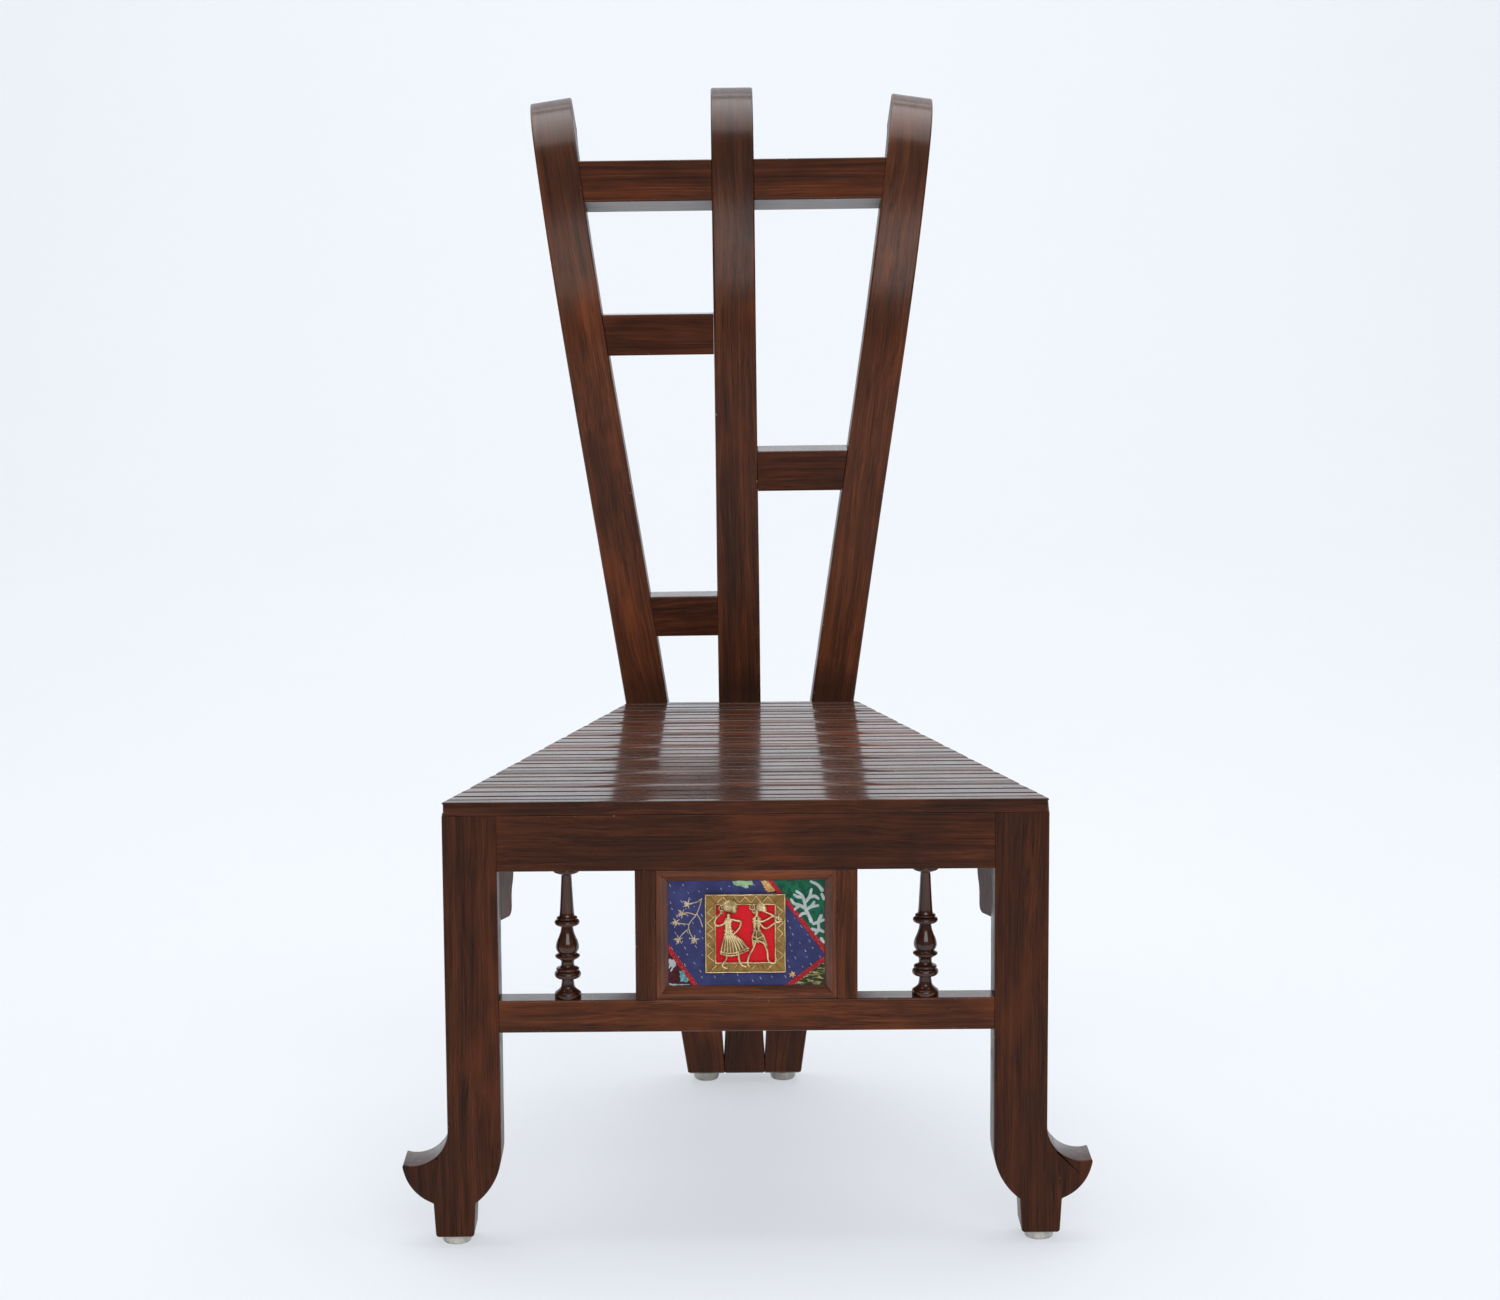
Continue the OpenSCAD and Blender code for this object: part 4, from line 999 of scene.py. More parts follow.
def post_shell(side, back, seat_d, seed):
    """A post: a sanded section carried up its side view, with a rounded top end.

    The top end is a quarter circle of TOP_R between each face and the end. An outer post is
    turned by the splay, cut level at the floor glide, and planed flat at its foot where its
    points would pass the middle post's side. Between 22 and 47 mm above the floor the facing
    sides draw back by up to SLIT each over a smooth step, and the middle post fills out
    again from 110 to 170 mm, so that a thin slit stays open between the posts.
    """
    shape = PostShape(back, seat_d)
    sx, sz, ix, iz, mask = soft_section(POST_R, 4)
    st = shape.state
    low = np.stack([np.full(14, seat_d), np.linspace(20, shape.straight - 4, 14),
                    np.zeros(14)], 1)
    up = st.copy()
    up[:, 1] += shape.straight
    gap = np.hypot(up[:, 0] - up[-1, 0], up[:, 1] - up[-1, 1])
    up = up[gap > 10]
    top = st[-1] + [0, shape.straight, 0]
    line = np.concatenate([low[:1], low[:1], low[:1], low, up])
    inset_v = np.concatenate([[2.4, 1.4, 0], np.zeros(len(line) - 3)])
    inset_u = inset_v.copy()
    rise, fall = quarter(8)
    lean = math.radians(top[2])
    along = -TOP_R * fall
    ends = np.stack([top[0] + along * math.sin(lean), top[1] + along * math.cos(lean),
                     np.full(9, top[2])], 1)
    ends = np.concatenate([ends, ends[-1:], ends[-1:]])
    line = np.concatenate([line, ends])
    inset_v = np.concatenate([inset_v, TOP_R * rise, [TOP_R + 0.6, TOP_R + 1.6]])
    inset_u = np.concatenate([inset_u, np.clip(1.6 * rise, 0, 1.6), [2.2, 3.0]])
    half_v = (shape.d / 2 - inset_v)[:, None]
    half_u = (shape.w / 2 - inset_u)[:, None]
    s = np.concatenate([[0], np.cumsum(np.hypot(*np.diff(line[:, :2], axis=0).T))])[:, None]
    slow = 0.2 * np.sin(s / 83 + seed) * (inset_u == 0)[:, None]
    u = sx * (half_u + slow - POST_R * ix)
    v = shape.d / 2 + sz * (half_v - POST_R * iz)
    t = np.radians(line[:, 2:3])
    y = line[:, :1] + v * np.cos(t)
    z = line[:, 1:2] - v * np.sin(t)

    def world(u, y, z):
        c, s = math.cos(back.splay * side), math.sin(back.splay * side)
        p = np.stack([post_foot(back) * side + u * c + z * s, y, -u * s + z * c], -1)
        rise, fall = (smooth(np.clip((p[..., 2] - z0) / dz, 0, 1))
                      for z0, dz in ((22, 25), (110, 60)))
        if side:
            p[..., 0] = side * np.maximum(side * p[..., 0], shape.w / 2 + 0.15 + SLIT * rise)
        else:
            p[..., 0] *= 1 - SLIT * rise * (1 - fall) / (shape.w / 2)
        return fan(p, back.lean)

    target = np.array([10.5, 10.8, 12.2])[:, None]
    zero = world(u[:3], y[:3], np.zeros_like(z[:3]))[..., 2]
    slope = world(u[:3], y[:3], np.ones_like(z[:3]))[..., 2] - zero
    z[:3] = (target - zero) / slope
    drift = 0.012 * s
    edge = np.maximum(np.broadcast_to(mask, u.shape), (inset_v > 0)[:, None] * 0.5)
    return tube(world(u, y, z), grain_place(seed, u + drift * 0.6, v + drift, s), edge)


def back_rail_shell(side, z, height, back, seat_d, seed):
    """A level rail between the middle post and an outer one, flush with both faces.

    Its frame is turned about Z so that it meets both posts' faces, and leans by the mean of
    their leans. Its underside has edge value -1, which gives it a pale grey colour without
    polish: partly its dusty bare wood, partly a painted reflection of the pale floor. Each point
    runs along the rail from where it meets the middle post's side to where it meets the outer
    post's slanting side.
    """
    shape = PostShape(back, seat_d)
    c, s = math.cos(back.splay), math.sin(back.splay)
    foot = post_foot(back)
    y_mid, y_out = shape.face_y(z), shape.face_y(z / c)
    lean = math.radians((shape.face_lean(z) + shape.face_lean(z / c)) / 2)
    turn = math.atan2(y_out - y_mid, foot + z * math.tan(back.splay))
    turn_z = np.array([[math.cos(turn), -math.sin(turn), 0],
                       [math.sin(turn), math.cos(turn), 0], [0, 0, 1]])
    turn_x = np.array([[1, 0, 0], [0, math.cos(lean), math.sin(lean)],
                       [0, -math.sin(lean), math.cos(lean)]])
    e = turn_z @ turn_x
    rail_d, = mm(back, "rail_d")
    half = shape.w / 2

    def place(u, v, along):
        base = np.array([0, y_mid, z]) + (rail_d / 2 + v)[..., None] * e[:, 1] \
            + u[..., None] * e[:, 2]
        x0 = (half + 0.1 - base[..., 0]) / e[0, 0]
        x1 = (-half - 0.1 - ((base[..., 0] - foot) * c - base[..., 2] * s)) \
            / (e[0, 0] * c - e[2, 0] * s)
        x = x0 + (x1 - x0) * along / 100
        p = base + x[..., None] * e[:, 0]
        p[..., 0] *= side
        return fan(p, back.lean)

    made = board(height, rail_d, 100, place, 1.6, 0.4, 8, seed, 0.1)
    # Edge -1 on the underside: pale grey for dusty bare wood and a painted reflection of the floor
    sx, _, ix, _, _ = soft_section(1.6)
    rings = len(made.points) // len(sx)
    made.edge = np.where(np.tile((sx < 0) & (ix == 0), rings), -1.0, made.edge)
    return made


class CHAIR_OT_back(bpy.types.Operator):
    """Makes the three back posts and the five rails between them"""
    bl_idname = "chair.back"
    bl_label = "Back posts and rails"

    def execute(self, context):
        back, seat = context.scene.chair_back, context.scene.chair_seat
        look = context.scene.chair_finish
        seat_d, = mm(seat, "seat_d")
        # top=0.91 darkens the posts above that height and adds painted shade just above the seat
        outer, middle = (rosewood(name, look, gain, 0.98, 8.0, 0.4, 0.22, top=0.91, polish=0.2,
                                   flank=0.1)
                         for name, gain in (("rosewood_outer_posts", 1.08),
                                            ("rosewood_middle_post", 0.82)))
        # The pale grey below is the rails' dusty bare undersides and a painted reflection of the
        # pale floor
        rails = rosewood("rosewood_back_rails", look, 0.62, 1.05, 6.0, 0.4, 0.12,
                         sunk=(0.36, 0.35, 0.35))
        for side, word in ((-1, "left"), (0, "middle"), (1, "right")):
            carve(f"back_post_{word}", "bent", post_shell(side, back, seat_d, 71 + side),
                  outer if side else middle, 40)
        rail_h, top_h = mm(back, "rail_h", "top_rail_h")
        seat_z, top = SEAT_TOP * 1000, CHAIR_TOP * 1000
        for name, side, z, h in (
                ("top_rail_left", -1, top - 99, top_h), ("top_rail_right", 1, top - 99, top_h),
                ("back_rail_upper_left", -1, seat_z + 399, rail_h),
                ("back_rail_right", 1, seat_z + 251, rail_h),
                ("back_rail_lower_left", -1, seat_z + 94, rail_h)):
            carve(name, "fitted", back_rail_shell(side, z, h, back, seat_d, 80 + int(z) % 17),
                  rails)
        return {"FINISHED"}


# ---------------------------------------------------------------- panel

def opening(front, panel):
    """Half width, lower edge and upper edge of the panel's opening."""
    panel_w, stile_w = mm(panel, "panel_w", "stile_w")
    rail_z, rail_h, apron_h = mm(front, "rail_z", "rail_h", "apron_h")
    return panel_w / 2 - stile_w, rail_z + rail_h, FRAME_TOP - apron_h


def turned(middle, turn, x, y, z):
    """Points (x, z) turned about the panel's middle by turn degrees, at depth y."""
    c, s = math.cos(math.radians(turn)), math.sin(math.radians(turn))
    return np.stack(np.broadcast_arrays(middle[0] + x * c + z * s, y,
                                        middle[1] - x * s + z * c), -1)


def strip_shell(turn, half_w, half_h, mid_z, panel, seed):
    """A mitred strip: its section runs along one side and ends on the opening's diagonals.

    A section point at distance v from the opening's edge runs from -(half - v) to half - v.
    """
    strip_w, flat, depth = mm(panel, "strip_w", "strip_flat", "strip_d")
    a = np.radians(np.linspace(0, 40, 5))
    brow = np.stack([0.9 * (1 - np.cos(a)), flat - 0.9 * math.sin(a[-1]) * 1.2
                     + 0.9 * np.sin(a)], 1)
    lip = np.array([[depth - 1.25, strip_w - 0.35], [depth - 1.0, strip_w - 0.08],
                    [depth - 0.8, strip_w]])
    corner = np.array([[0.6, 0], [0.2, 0.2], [0, 0.6], [0, 1.2]])
    section = np.concatenate([corner, brow, lip, [[depth, strip_w], [depth, 0]]])
    mask = np.array([0.6, 1, 0.6, 0] + [0.2, 0.8, 1, 0.8, 0.2] + [0.6, 1, 0.6] + [0, 0])
    y, v = section[:, 0], section[:, 1]
    upright = turn in (90, 270)
    length_, other = (half_h, half_w) if upright else (half_w, half_h)
    t = np.concatenate([[-1, -0.9985], np.linspace(-0.96, 0.96, 17), [0.9985, 1]])[:, None]
    sink = (np.abs(t) == 1) * 0.25
    x = t * (length_ - v - 0.05)
    points = turned((0, mid_z), turn, x, 1.0 + y + sink * (y < 4), v - other)
    edge = np.maximum(np.broadcast_to(mask, x.shape), (np.abs(t) > 0.99) * 0.9)
    return tube(points, grain_place(seed, v, y, x), edge)


def spindle_profile(height, ring):
    """Radius and height of the turned spindle, from 49 equal parts of its height.

    Coves run over a smooth step between two radii; beads are half circles put on a root.
    """
    def bead(root, r, mid, tall):
        a = np.linspace(-90, 90, 11)
        return [(root + (r - root) * math.cos(math.radians(x)),
                 mid + tall / 2 * math.sin(math.radians(x))) for x in a]

    def cove(r0, z0, r1, z1, power=1.6):
        t = np.linspace(0, 1, 8)
        return list(zip(r0 + (r1 - r0) * (1 - (1 - t) ** power), z0 + (z1 - z0) * t))

    rows = [(0.6, 0.02), (ring - 0.6, 0.02), (ring - 0.05, 0.25), (ring - 0.05, 1.5),
            (ring - 0.5, 1.95)]
    rows += cove(ring - 1.6, 2.3, 6.4, 4.3) + [(6.0, 5.2), (5.6, 6.6), (6.2, 7.3)]
    rows += bead(ring - 3, ring - 0.15, 8.8, 2.6) + bead(ring - 3.6, ring - 1.7, 10.8, 1.3)
    rows += [(7.0, 11.7), (6.2, 12.3), (6.0, 13.2), (6.5, 14.1), (8.0, 14.6)]
    rows += [(ring - 1.9, 15.2), (ring - 0.9, 15.6), (ring - 0.9, 16.0), (ring - 1.9, 16.3),
             (8.4, 16.8)]
    rows += smooth_path([(8.3, 17.0), (10.0, 17.9), (10.8, 19.3), (9.9, 21.2), (8.0, 23.0),
                         (6.3, 25.0), (5.5, 26.8)], 24).tolist()
    rows += bead(ring - 4, ring - 0.8, 28.6, 2.2) + bead(7.5, 9.6, 30.3, 1.0)
    rows += [(7.0 - 2.3 * t ** 0.8, 31.0 + 15.5 * t) for t in np.linspace(0, 1, 11)]
    rows += [(5.2, 46.8), (7.6, 47.1), (ring - 2.4, 47.5), (ring - 0.8, 47.8),
             (ring - 0.3, 48.1), (ring - 0.3, 48.8), (ring - 0.6, 48.98), (0.6, 48.98)]
    p = np.array(rows)
    p[:, 1] *= height / 49
    return p


class CHAIR_OT_panel_frame(bpy.types.Operator):
    """Makes the panel's stiles and mitred strips and the two spindles"""
    bl_idname = "chair.panel_frame"
    bl_label = "Panel frame and spindles"

    def execute(self, context):
        front, panel = context.scene.chair_front, context.scene.chair_panel
        look = context.scene.chair_finish
        half, low, high = opening(front, panel)
        stile_w, stile_d, ring = mm(panel, "stile_w", "stile_d", "spindle_r")
        wood = rosewood("rosewood_stiles", look, 0.9, 1.0, 6.0, 0.4, 0.1)
        # Gain 1.5 makes the strips paler wood, partly a painted highlight standing in for their
        # glossy bevels
        pale = rosewood("rosewood_strips", look, 1.5, 1.0, 5.0, 0.4, 0.3, polish=0.2)
        black = rosewood("rosewood_spindles", look, 0.5, 1.0, 5.0, 0.35, 0.9)
        width, leg_w, rail_d = mm(front, "front_w", "leg_w", "rail_d")
        for side, word in SIDES:
            x0, x1 = sorted((side * half, side * (half + stile_w)))
            carve(f"panel_stile_{word}", "board", plain_board(
                (x0, 0, low), (x1, stile_d, high), 2, 1.3, 91 + side), wood)
            centre = (side * (width / 2 - leg_w + half + stile_w) / 2, rail_d / 2, low)
            carve(f"spindle_{word}", "turned", lathe(spindle_profile(high - low, ring), centre,
                                                     56, 95 + side), black, 50)
        for word, turn in (("bottom", 0), ("left", 90), ("top", 180), ("right", 270)):
            carve(f"panel_strip_{word}", "mitred", strip_shell(
                turn, half, (high - low) / 2, (high + low) / 2, panel, 100 + turn // 30),
                pale, 40)
        return {"FINISHED"}


# ---------------------------------------------------------------- picture in the panel

# Depth of the cloth's front, and half the width and height that its patches may fill
CLOTH_FRONT = 8.2
CLOTH_HALF = (72.4, 49.7)
# The brass plate hangs 1 mm left of the middle, with its back at this depth
PLATE_X = -1.0
PLATE_BACK = 7.38


def slab(half_w, half_h, mid, front_y, back_y, nx=90, nz=64):
    """A thin sheet: rows of points go left to right over the front and back over the rear.

    The front's depth is front_y(x, z), and the rear is flat at back_y.
    """
    x, z = np.linspace(-half_w, half_w, nx), np.linspace(-half_h, half_h, nz)[:, None]
    xx, zz = np.broadcast_to(x, (nz, nx)), np.broadcast_to(z, (nz, nx))
    front = np.stack([xx + mid[0], front_y(xx, zz), zz + mid[1]], -1)
    rear = np.stack([xx[:, ::-1] + mid[0], np.full_like(xx, back_y), zz + mid[1]], -1)
    made = tube(np.concatenate([front, rear], 1))
    made.grain = made.points[:, [0, 2, 1]]
    return made


def puckers(x, z):
    """Slight puckers of the quilted cloth: slow waves across the lines of running stitches."""
    over = (x * 0.86 + z * 0.5) / 8.5
    rim = np.clip((72.0 - np.abs(x)) / 6, 0, 1) * np.clip((49.3 - np.abs(z)) / 6, 0, 1)
    lift = 0.12 * np.abs(np.sin(math.pi * over)) + 0.05 * np.sin(x / 3.7 + 2 * np.sin(z / 5.1))
    return CLOTH_FRONT - np.clip(lift, 0, 1) * rim


def ragged(points, seed, size=0.5, count=6):
    """An outline with frayed edges: each side is cut in steps and moved by sines along it."""
    p = np.asarray(points, float)
    q = np.roll(p, -1, 0)
    t = np.linspace(0, 1, count, endpoint=False)[:, None, None]
    line = (p + (q - p) * t).transpose(1, 0, 2).reshape(-1, 2)
    k = np.arange(len(line))
    move = np.stack([np.sin(k * 2.17 + seed), np.cos(k * 1.63 + seed * 2)], 1)
    return line + size * move


def patch(points, mid_z, depth=0.35, lift=0.0):
    """A thin patch sewn on the cloth: a cut outline with soft rims, lying on the cloth."""
    p = np.asarray(points, float)
    p = np.clip(p, np.negative(CLOTH_HALF), CLOTH_HALF)

    def place(a, b, v):
        return np.stack([a, puckers(a, b) + 0.1 - lift - depth + v, b + mid_z], -1)

    made = plate(p, depth, place, 0.14, steps=2)
    made.grain = made.points[:, [0, 2, 1]]
    return made


def thread_run(points, mid_z, radius=0.35, count=24, lift=0.0):
    """An embroidered line: a flattened wire along a smooth path lying on the cloth."""
    path = smooth_path(points, count)
    y = puckers(path[:, 0], path[:, 1]) - 0.05 - lift
    made = wire(np.stack([path[:, 0], y, path[:, 1] + mid_z], 1), radius, 6, 0.7)
    made.grain = made.points[:, [0, 2, 1]]
    return made


def running_stitches(mid_z, half_plate):
    """Rows of slanting running stitches, one short wire each, left out under what lies on top.

    Row k lies 9.4 mm from the last, a stitch of about 2 mm comes every 8.2 mm, and a sine moves
    each one a little, as hand sewing does.
    """
    made = []
    along, across = np.array([0.5, -0.866]), np.array([0.866, 0.5])
    for k in range(-10, 11):
        for i in range(-11, 12):
            wob = 1.2 * math.sin(k * 3.1 + i * 1.7)
            c = across * (k * 9.4 + wob) + along * (i * 8.2 + 1.4 * wob + 4.1 * (k % 2))
            if abs(c[0]) > 70.5 or abs(c[1]) > 47.5:
                continue
            if max(abs(c[0] - PLATE_X), abs(c[1])) < half_plate + 1.5:
                continue
            if c[1] > 47 - 1.30 * (c[0] - 22) or c[1] < -52 + 0.74 * (c[0] - 33) * (c[0] > 33):
                continue
            if c[1] < -14 - 1.36 * (c[0] + 72.7):
                continue
            reach = 0.95 + 0.45 * math.cos(k * 1.3 + i * 2.9)
            path = c + along * np.linspace(-reach, reach, 4)[:, None]
            y = puckers(path[:, 0], path[:, 1]) - np.array([0.02, 0.16, 0.16, 0.02])
            made.append(wire(np.stack([path[:, 0], y, path[:, 1] + mid_z], 1), 0.22, 6))
    return made


def star(centre, r, seed):
    """A blossom: an outline whose radius swings between r and 0.42 r, six times round."""
    a = np.linspace(0, 2 * math.pi, 30, endpoint=False)
    radius = r * (0.7 + 0.3 * np.cos(6 * a + seed)) * (1 + 0.16 * np.sin(3 * a + seed * 2))
    return np.stack([centre[0] + radius * np.cos(a), centre[1] + radius * np.sin(a)], 1)


def fabric(name, base, second=None, scale=0.2, share=(0.5, 0.6), thread=0.42,
           stretch=1.0, turn=0.0):
    """Plain woven cotton: painted shade between threads, a print of soft blots in the second."""
    material, tree, shader = start(name, Sheen_Weight=0.25, Specular_IOR_Level=0.2)
    place = attribute(tree, "grain")
    height = use(tree, "plain weave", Place=place, Thread=thread)["Height"]
    faded = noise(place, 0.06, 4, 0.6)
    tone = blend(ramp(faded, 0.35, 0.7), rgba(base, 0.78), rgba(base, 1.2, 0.004))
    if second is not None:
        spot = noise(scaled(place, (scale, scale * stretch, scale), turn=(0, 0, turn)), None, 2,
                     0.5, 0.8)
        tone = blend(ramp(spot, *share), tone, rgba(second))
    # Painted shade: the weave's low places are darkened to about 0.55 of the tone
    dark = blend(1.0, tone, (0.55, 0.55, 0.58, 1), "MULTIPLY")
    fill(shader, Base_Color=blend(ramp(height, 0.15, 0.7), dark, tone),
         Roughness=ramp(faded, 0.2, 0.8, 0.77, 0.93))
    to_bump(shader, height, 0.5, 0.0001)
    return material


def felt_material(look):
    """Red felt: short fluff in two tones, paler and darker in slow clouds."""
    material, tree, shader = start("felt_red", Sheen_Weight=0.4, Specular_IOR_Level=0.15)
    place = attribute(tree, "grain")
    fluff = noise(place, 1.6, 4, 0.7, 1.2)
    tone = blend(ramp(fluff, 0.3, 0.7), rgba(look.felt, 0.66), rgba(look.felt, 1.12))
    slow = ramp(noise(place, 0.12, 3, 0.5), 0.3, 0.8, 0, 0.3)
    fill(shader, Base_Color=blend(slow, tone, rgba(look.felt, 0.8)),
         Roughness=ramp(fluff, 0.2, 0.8, 0.86, 1.0))
    to_bump(shader, fluff, 0.8, 0.0003)
    return material


class CHAIR_OT_patchwork(bpy.types.Operator):
    """Makes the patchwork cloth with its patches, embroidery and stitches"""
    bl_idname = "chair.patchwork"
    bl_label = "Patchwork cloth"

    def execute(self, context):
        front, panel = context.scene.chair_front, context.scene.chair_panel
        look = context.scene.chair_finish
        half, low, high = opening(front, panel)
        mid = (high + low) / 2
        plate_half = mm(panel, "plate_w")[0] / 2
        cloth = make_piece("patchwork_ground", [slab(
            half - 0.1, (high - low) / 2 - 0.1, (0, mid), puckers, 9.0)],
            fabric("cotton_navy", look.navy), ["patchwork_cloth"], sharp=60)
        patches = [
            ("green", 0.3, 0, ((0.012, 0.155, 0.075), (0.006, 0.09, 0.05), 0.16),
             [ragged([(24.8, 49.6), (72.4, 49.6), (72.4, -13.0)], 1, 0.15, 12)]),
            ("olive", 0.3, 0, ((0.035, 0.055, 0.022), (0.52, 0.42, 0.14), 0.16, (0.50, 0.60),
                               0.42, 4.0, 0.65),
             [[(44.0, -49.6), (72.4, -49.6), (72.4, -27.5)]]),
            ("maroon", 0.3, 0, ((0.10, 0.012, 0.022), (0.05, 0.006, 0.012), 0.2),
             [[(-72.4, -16.5), (-50.0, -49.6), (-72.4, -49.6)]]),
            ("teal", 0.3, 0.25, ((0.07, 0.36, 0.42), (0.35, 0.6, 0.6), 0.5),
             [ragged([(-62.5, -36), (-57.5, -35), (-57, -41), (-53.5, -43.5), (-55, -46.5),
                      (-61.5, -45.5)], 3)]),
            ("white", 0.3, 0.25, ((0.62, 0.66, 0.66), (0.45, 0.5, 0.52), 0.3),
             [ragged([(-72.2, -24), (-67, -25), (-65.5, -30), (-69.5, -31), (-68.5, -36),
                      (-72.2, -36)], 5),
              ragged([(-72, -47.5), (-64, -48.5), (-52, -48.6), (-60, -49.5), (-72, -49.5)],
                     6, 0.3)]),
            ("leaf", 0.3, 0, ((0.36, 0.60, 0.30), (0.50, 0.70, 0.42), 0.5),
             [ragged([(-13.2, 49.5), (-11.6, 46.3), (-8.2, 44.6), (-4.5, 44.8), (-1.4, 43.0),
                      (1.7, 42.3), (2.8, 44.9), (6.3, 45.4), (5.6, 49.5)], 2, 0.45)]),
            ("orange", 0.3, 0, ((0.80, 0.36, 0.10), (0.80, 0.62, 0.26), 0.4),
             [ragged([(13.8, 49.4), (15.4, 45.2), (18.2, 40.8), (20.5, 38.9), (25.0, 39.4),
                      (29.4, 38.4), (26.6, 43.0), (21.1, 49.4)], 4), star((42.5, -40.0), 3.4, 2)]),
            ("red", 0.35, 0.2, ((0.50, 0.018, 0.028), (0.72, 0.30, 0.22), 0.9, (0.62, 0.70)),
             [ragged([(24.5, 49.6), (72.4, -12.5), (72.4, -20.5), (20.0, 49.6)], 0, 0.12, 14),
              ragged([(72.4, -22.0), (36.0, -49.6), (43.5, -49.6), (72.4, -27.6)], 1, 0.12, 14),
              ragged([(-72.4, -10.0), (-45.0, -49.6), (-50.5, -49.6), (-72.4, -18.0)], 2, 0.12,
                     14)]),
        ]
        added = [("patch_" + word, [patch(p, mid, thick, lift) for p in outlines],
                  fabric("cotton_" + word, *cotton))
                 for word, thick, lift, cotton, outlines in patches]
        coral = [
            [(60.5, 10), (58.2, 15.7), (55.0, 22.8), (53.9, 29.0), (51.9, 35.3), (46.7, 39.2)],
            [(55.0, 22.8), (49.5, 26.0), (44.5, 27.5), (41.5, 31.5)], [(49.5, 26), (45.0, 22.0)],
            [(54.2, 28.5), (58.5, 33.5), (60.5, 41.0)], [(58.5, 33.5), (63.5, 34.5), (67, 32)],
            [(55.6, 22.0), (60.5, 24.5), (66.5, 25.5)], [(52.5, 33.5), (47.5, 34.0), (44.5, 36)],
            [(57.2, 18.5), (52.2, 18.0), (49.5, 15.5)], [(60.5, 24.5), (63, 29)],
            [(69.5, 16.0), (67.0, 10.0), (67.0, 3.0), (64.0, -1.5)], [(67, 10), (62.0, 8.0)],
            [(67, 3), (71.5, 0.5)], [(67, 10), (72, 12.0)], [(65.5, 1.5), (60.5, 3.5)],
            [(70.5, 40.0), (66.5, 45.0), (60.0, 48.5)], [(72, 32), (70, 36.5)],
            [(69.5, -6.0), (72, -9.5)]]
        shells = [thread_run(line, mid, np.interp(np.linspace(0, 1, 14), [0, 1], [1.7, 1.25]),
                             14, 0.25) for line in coral]
        added.append(("coral_motif", shells, fabric("cotton_motif", (0.66, 0.72, 0.70),
                                                    (0.50, 0.60, 0.56), 0.35)))
        branch = [
            [(-41.1, 33), (-43.6, 24.3), (-46.7, 17.3), (-53.1, 8.6), (-52.4, 0.8), (-48.4, -6.3)],
            [(-41.4, 32.7), (-46.1, 29.5), (-54.7, 27.9)],
            [(-46.7, 17.3), (-53.9, 19.5), (-60.2, 18.8)],
            [(-53.1, 8.6), (-59.4, 9.1), (-65.7, 10.2)],
            [(-53.6, 4.4), (-59.4, -0.8), (-63.3, -6.0)],
            [(-46.1, 18.8), (-42.9, 13.3), (-40.6, 6.0)]]
        shells = [thread_run(line, mid, 0.42, 26, 0.05) for line in branch]
        for i, c in enumerate(((-54.7, 27.9), (-60.2, 18.8), (-65.7, 10.2), (-63.3, -6.3),
                               (-48.4, -6.3))):
            shells.append(patch(star(c, 3.3, i), mid, 0.35, 0.12))
            for k in range(5):
                a = k * 1.2566 + i
                tip = (c[0] + 4.4 * math.cos(a), c[1] + 4.4 * math.sin(a))
                shells.append(thread_run([c, ((c[0] + tip[0]) / 2 + 0.3, (c[1] + tip[1]) / 2),
                                          tip], mid, 0.36, 6, 0.15))
        added.append(("embroidered_branch", shells, fabric(
            "thread_cream", (0.66, 0.50, 0.28), (0.75, 0.66, 0.46), 0.5, thread=0.22)))
        added.append(("stitches_white", running_stitches(mid, plate_half), fabric(
            "thread_white", (0.74, 0.74, 0.76), (0.6, 0.6, 0.64), 0.5, thread=0.2)))
        pieces = [make_piece(name, shells, material, sharp=60)
                  for name, shells, material in added]

        felt_half = plate_half - 1
        felt = make_piece("red_felt_square", [slab(
            felt_half, felt_half, (PLATE_X, mid),
            lambda x, z: 7.45 + 0.05 * np.sin(x / 2.3) * np.sin(z / 3.1), 8.15, 60, 60)],
            felt_material(look), ["red_felt"], sharp=60)
        return {"FINISHED"}


def brass_material(look):
    """Old cast brass: bright on the worn high places, brown and duller in the low ones."""
    material, tree, shader = start("antique_brass", Metallic=1.0)
    place, high = attribute(tree, "grain"), attribute(tree, "edge", "Fac")
    spots = noise(place, 0.55, 4, 0.65, 0.4)
    worn = ramp(high * 0.75 + spots * 0.6, 0.55, 1.0)
    tone = blend(worn, rgba(look.brass_old), rgba(look.brass))
    slow = ramp(noise(place, 0.09, 3, 0.5), 0.4, 0.7, 0, 0.7)
    fill(shader, Base_Color=blend(slow, tone, rgba(look.brass_old, 0.5)),
         Roughness=ramp(worn, 0, 1, 0.52, 0.26))
    to_bump(shader, spots + noise(place, 1.3, 3, 0.6) * 0.5, 0.9, 0.0005)
    return material


def drawn(line, depth, centre, radius, sides=8, flat=1.0):
    """A wire along a line of the plate's drawing, at one depth or a depth for each point."""
    p = np.asarray(line, float)
    return wire(np.stack([p[:, 0] + centre[0], np.broadcast_to(depth, len(p)),
                          p[:, 1] + centre[1]], 1), radius, sides, flat)


def figure_wires(strokes, centre):
    """Cast wires of a figure: smooth curves in the plate's drawing, each with radius and depth."""
    return [drawn(smooth_path(line, 8 * len(line)), depth, centre, radius, 10, 0.9)
            for radius, depth, line in strokes]


def ring_wire(middle, r, radius, depth, centre):
    """A small ring of wire: a circle of radius r about its middle."""
    a = np.linspace(0, 2 * math.pi * 0.97, 22)
    ring = np.stack([middle[0] + r * np.cos(a), middle[1] + r * np.sin(a)], 1)
    return drawn(ring, depth, centre, radius)


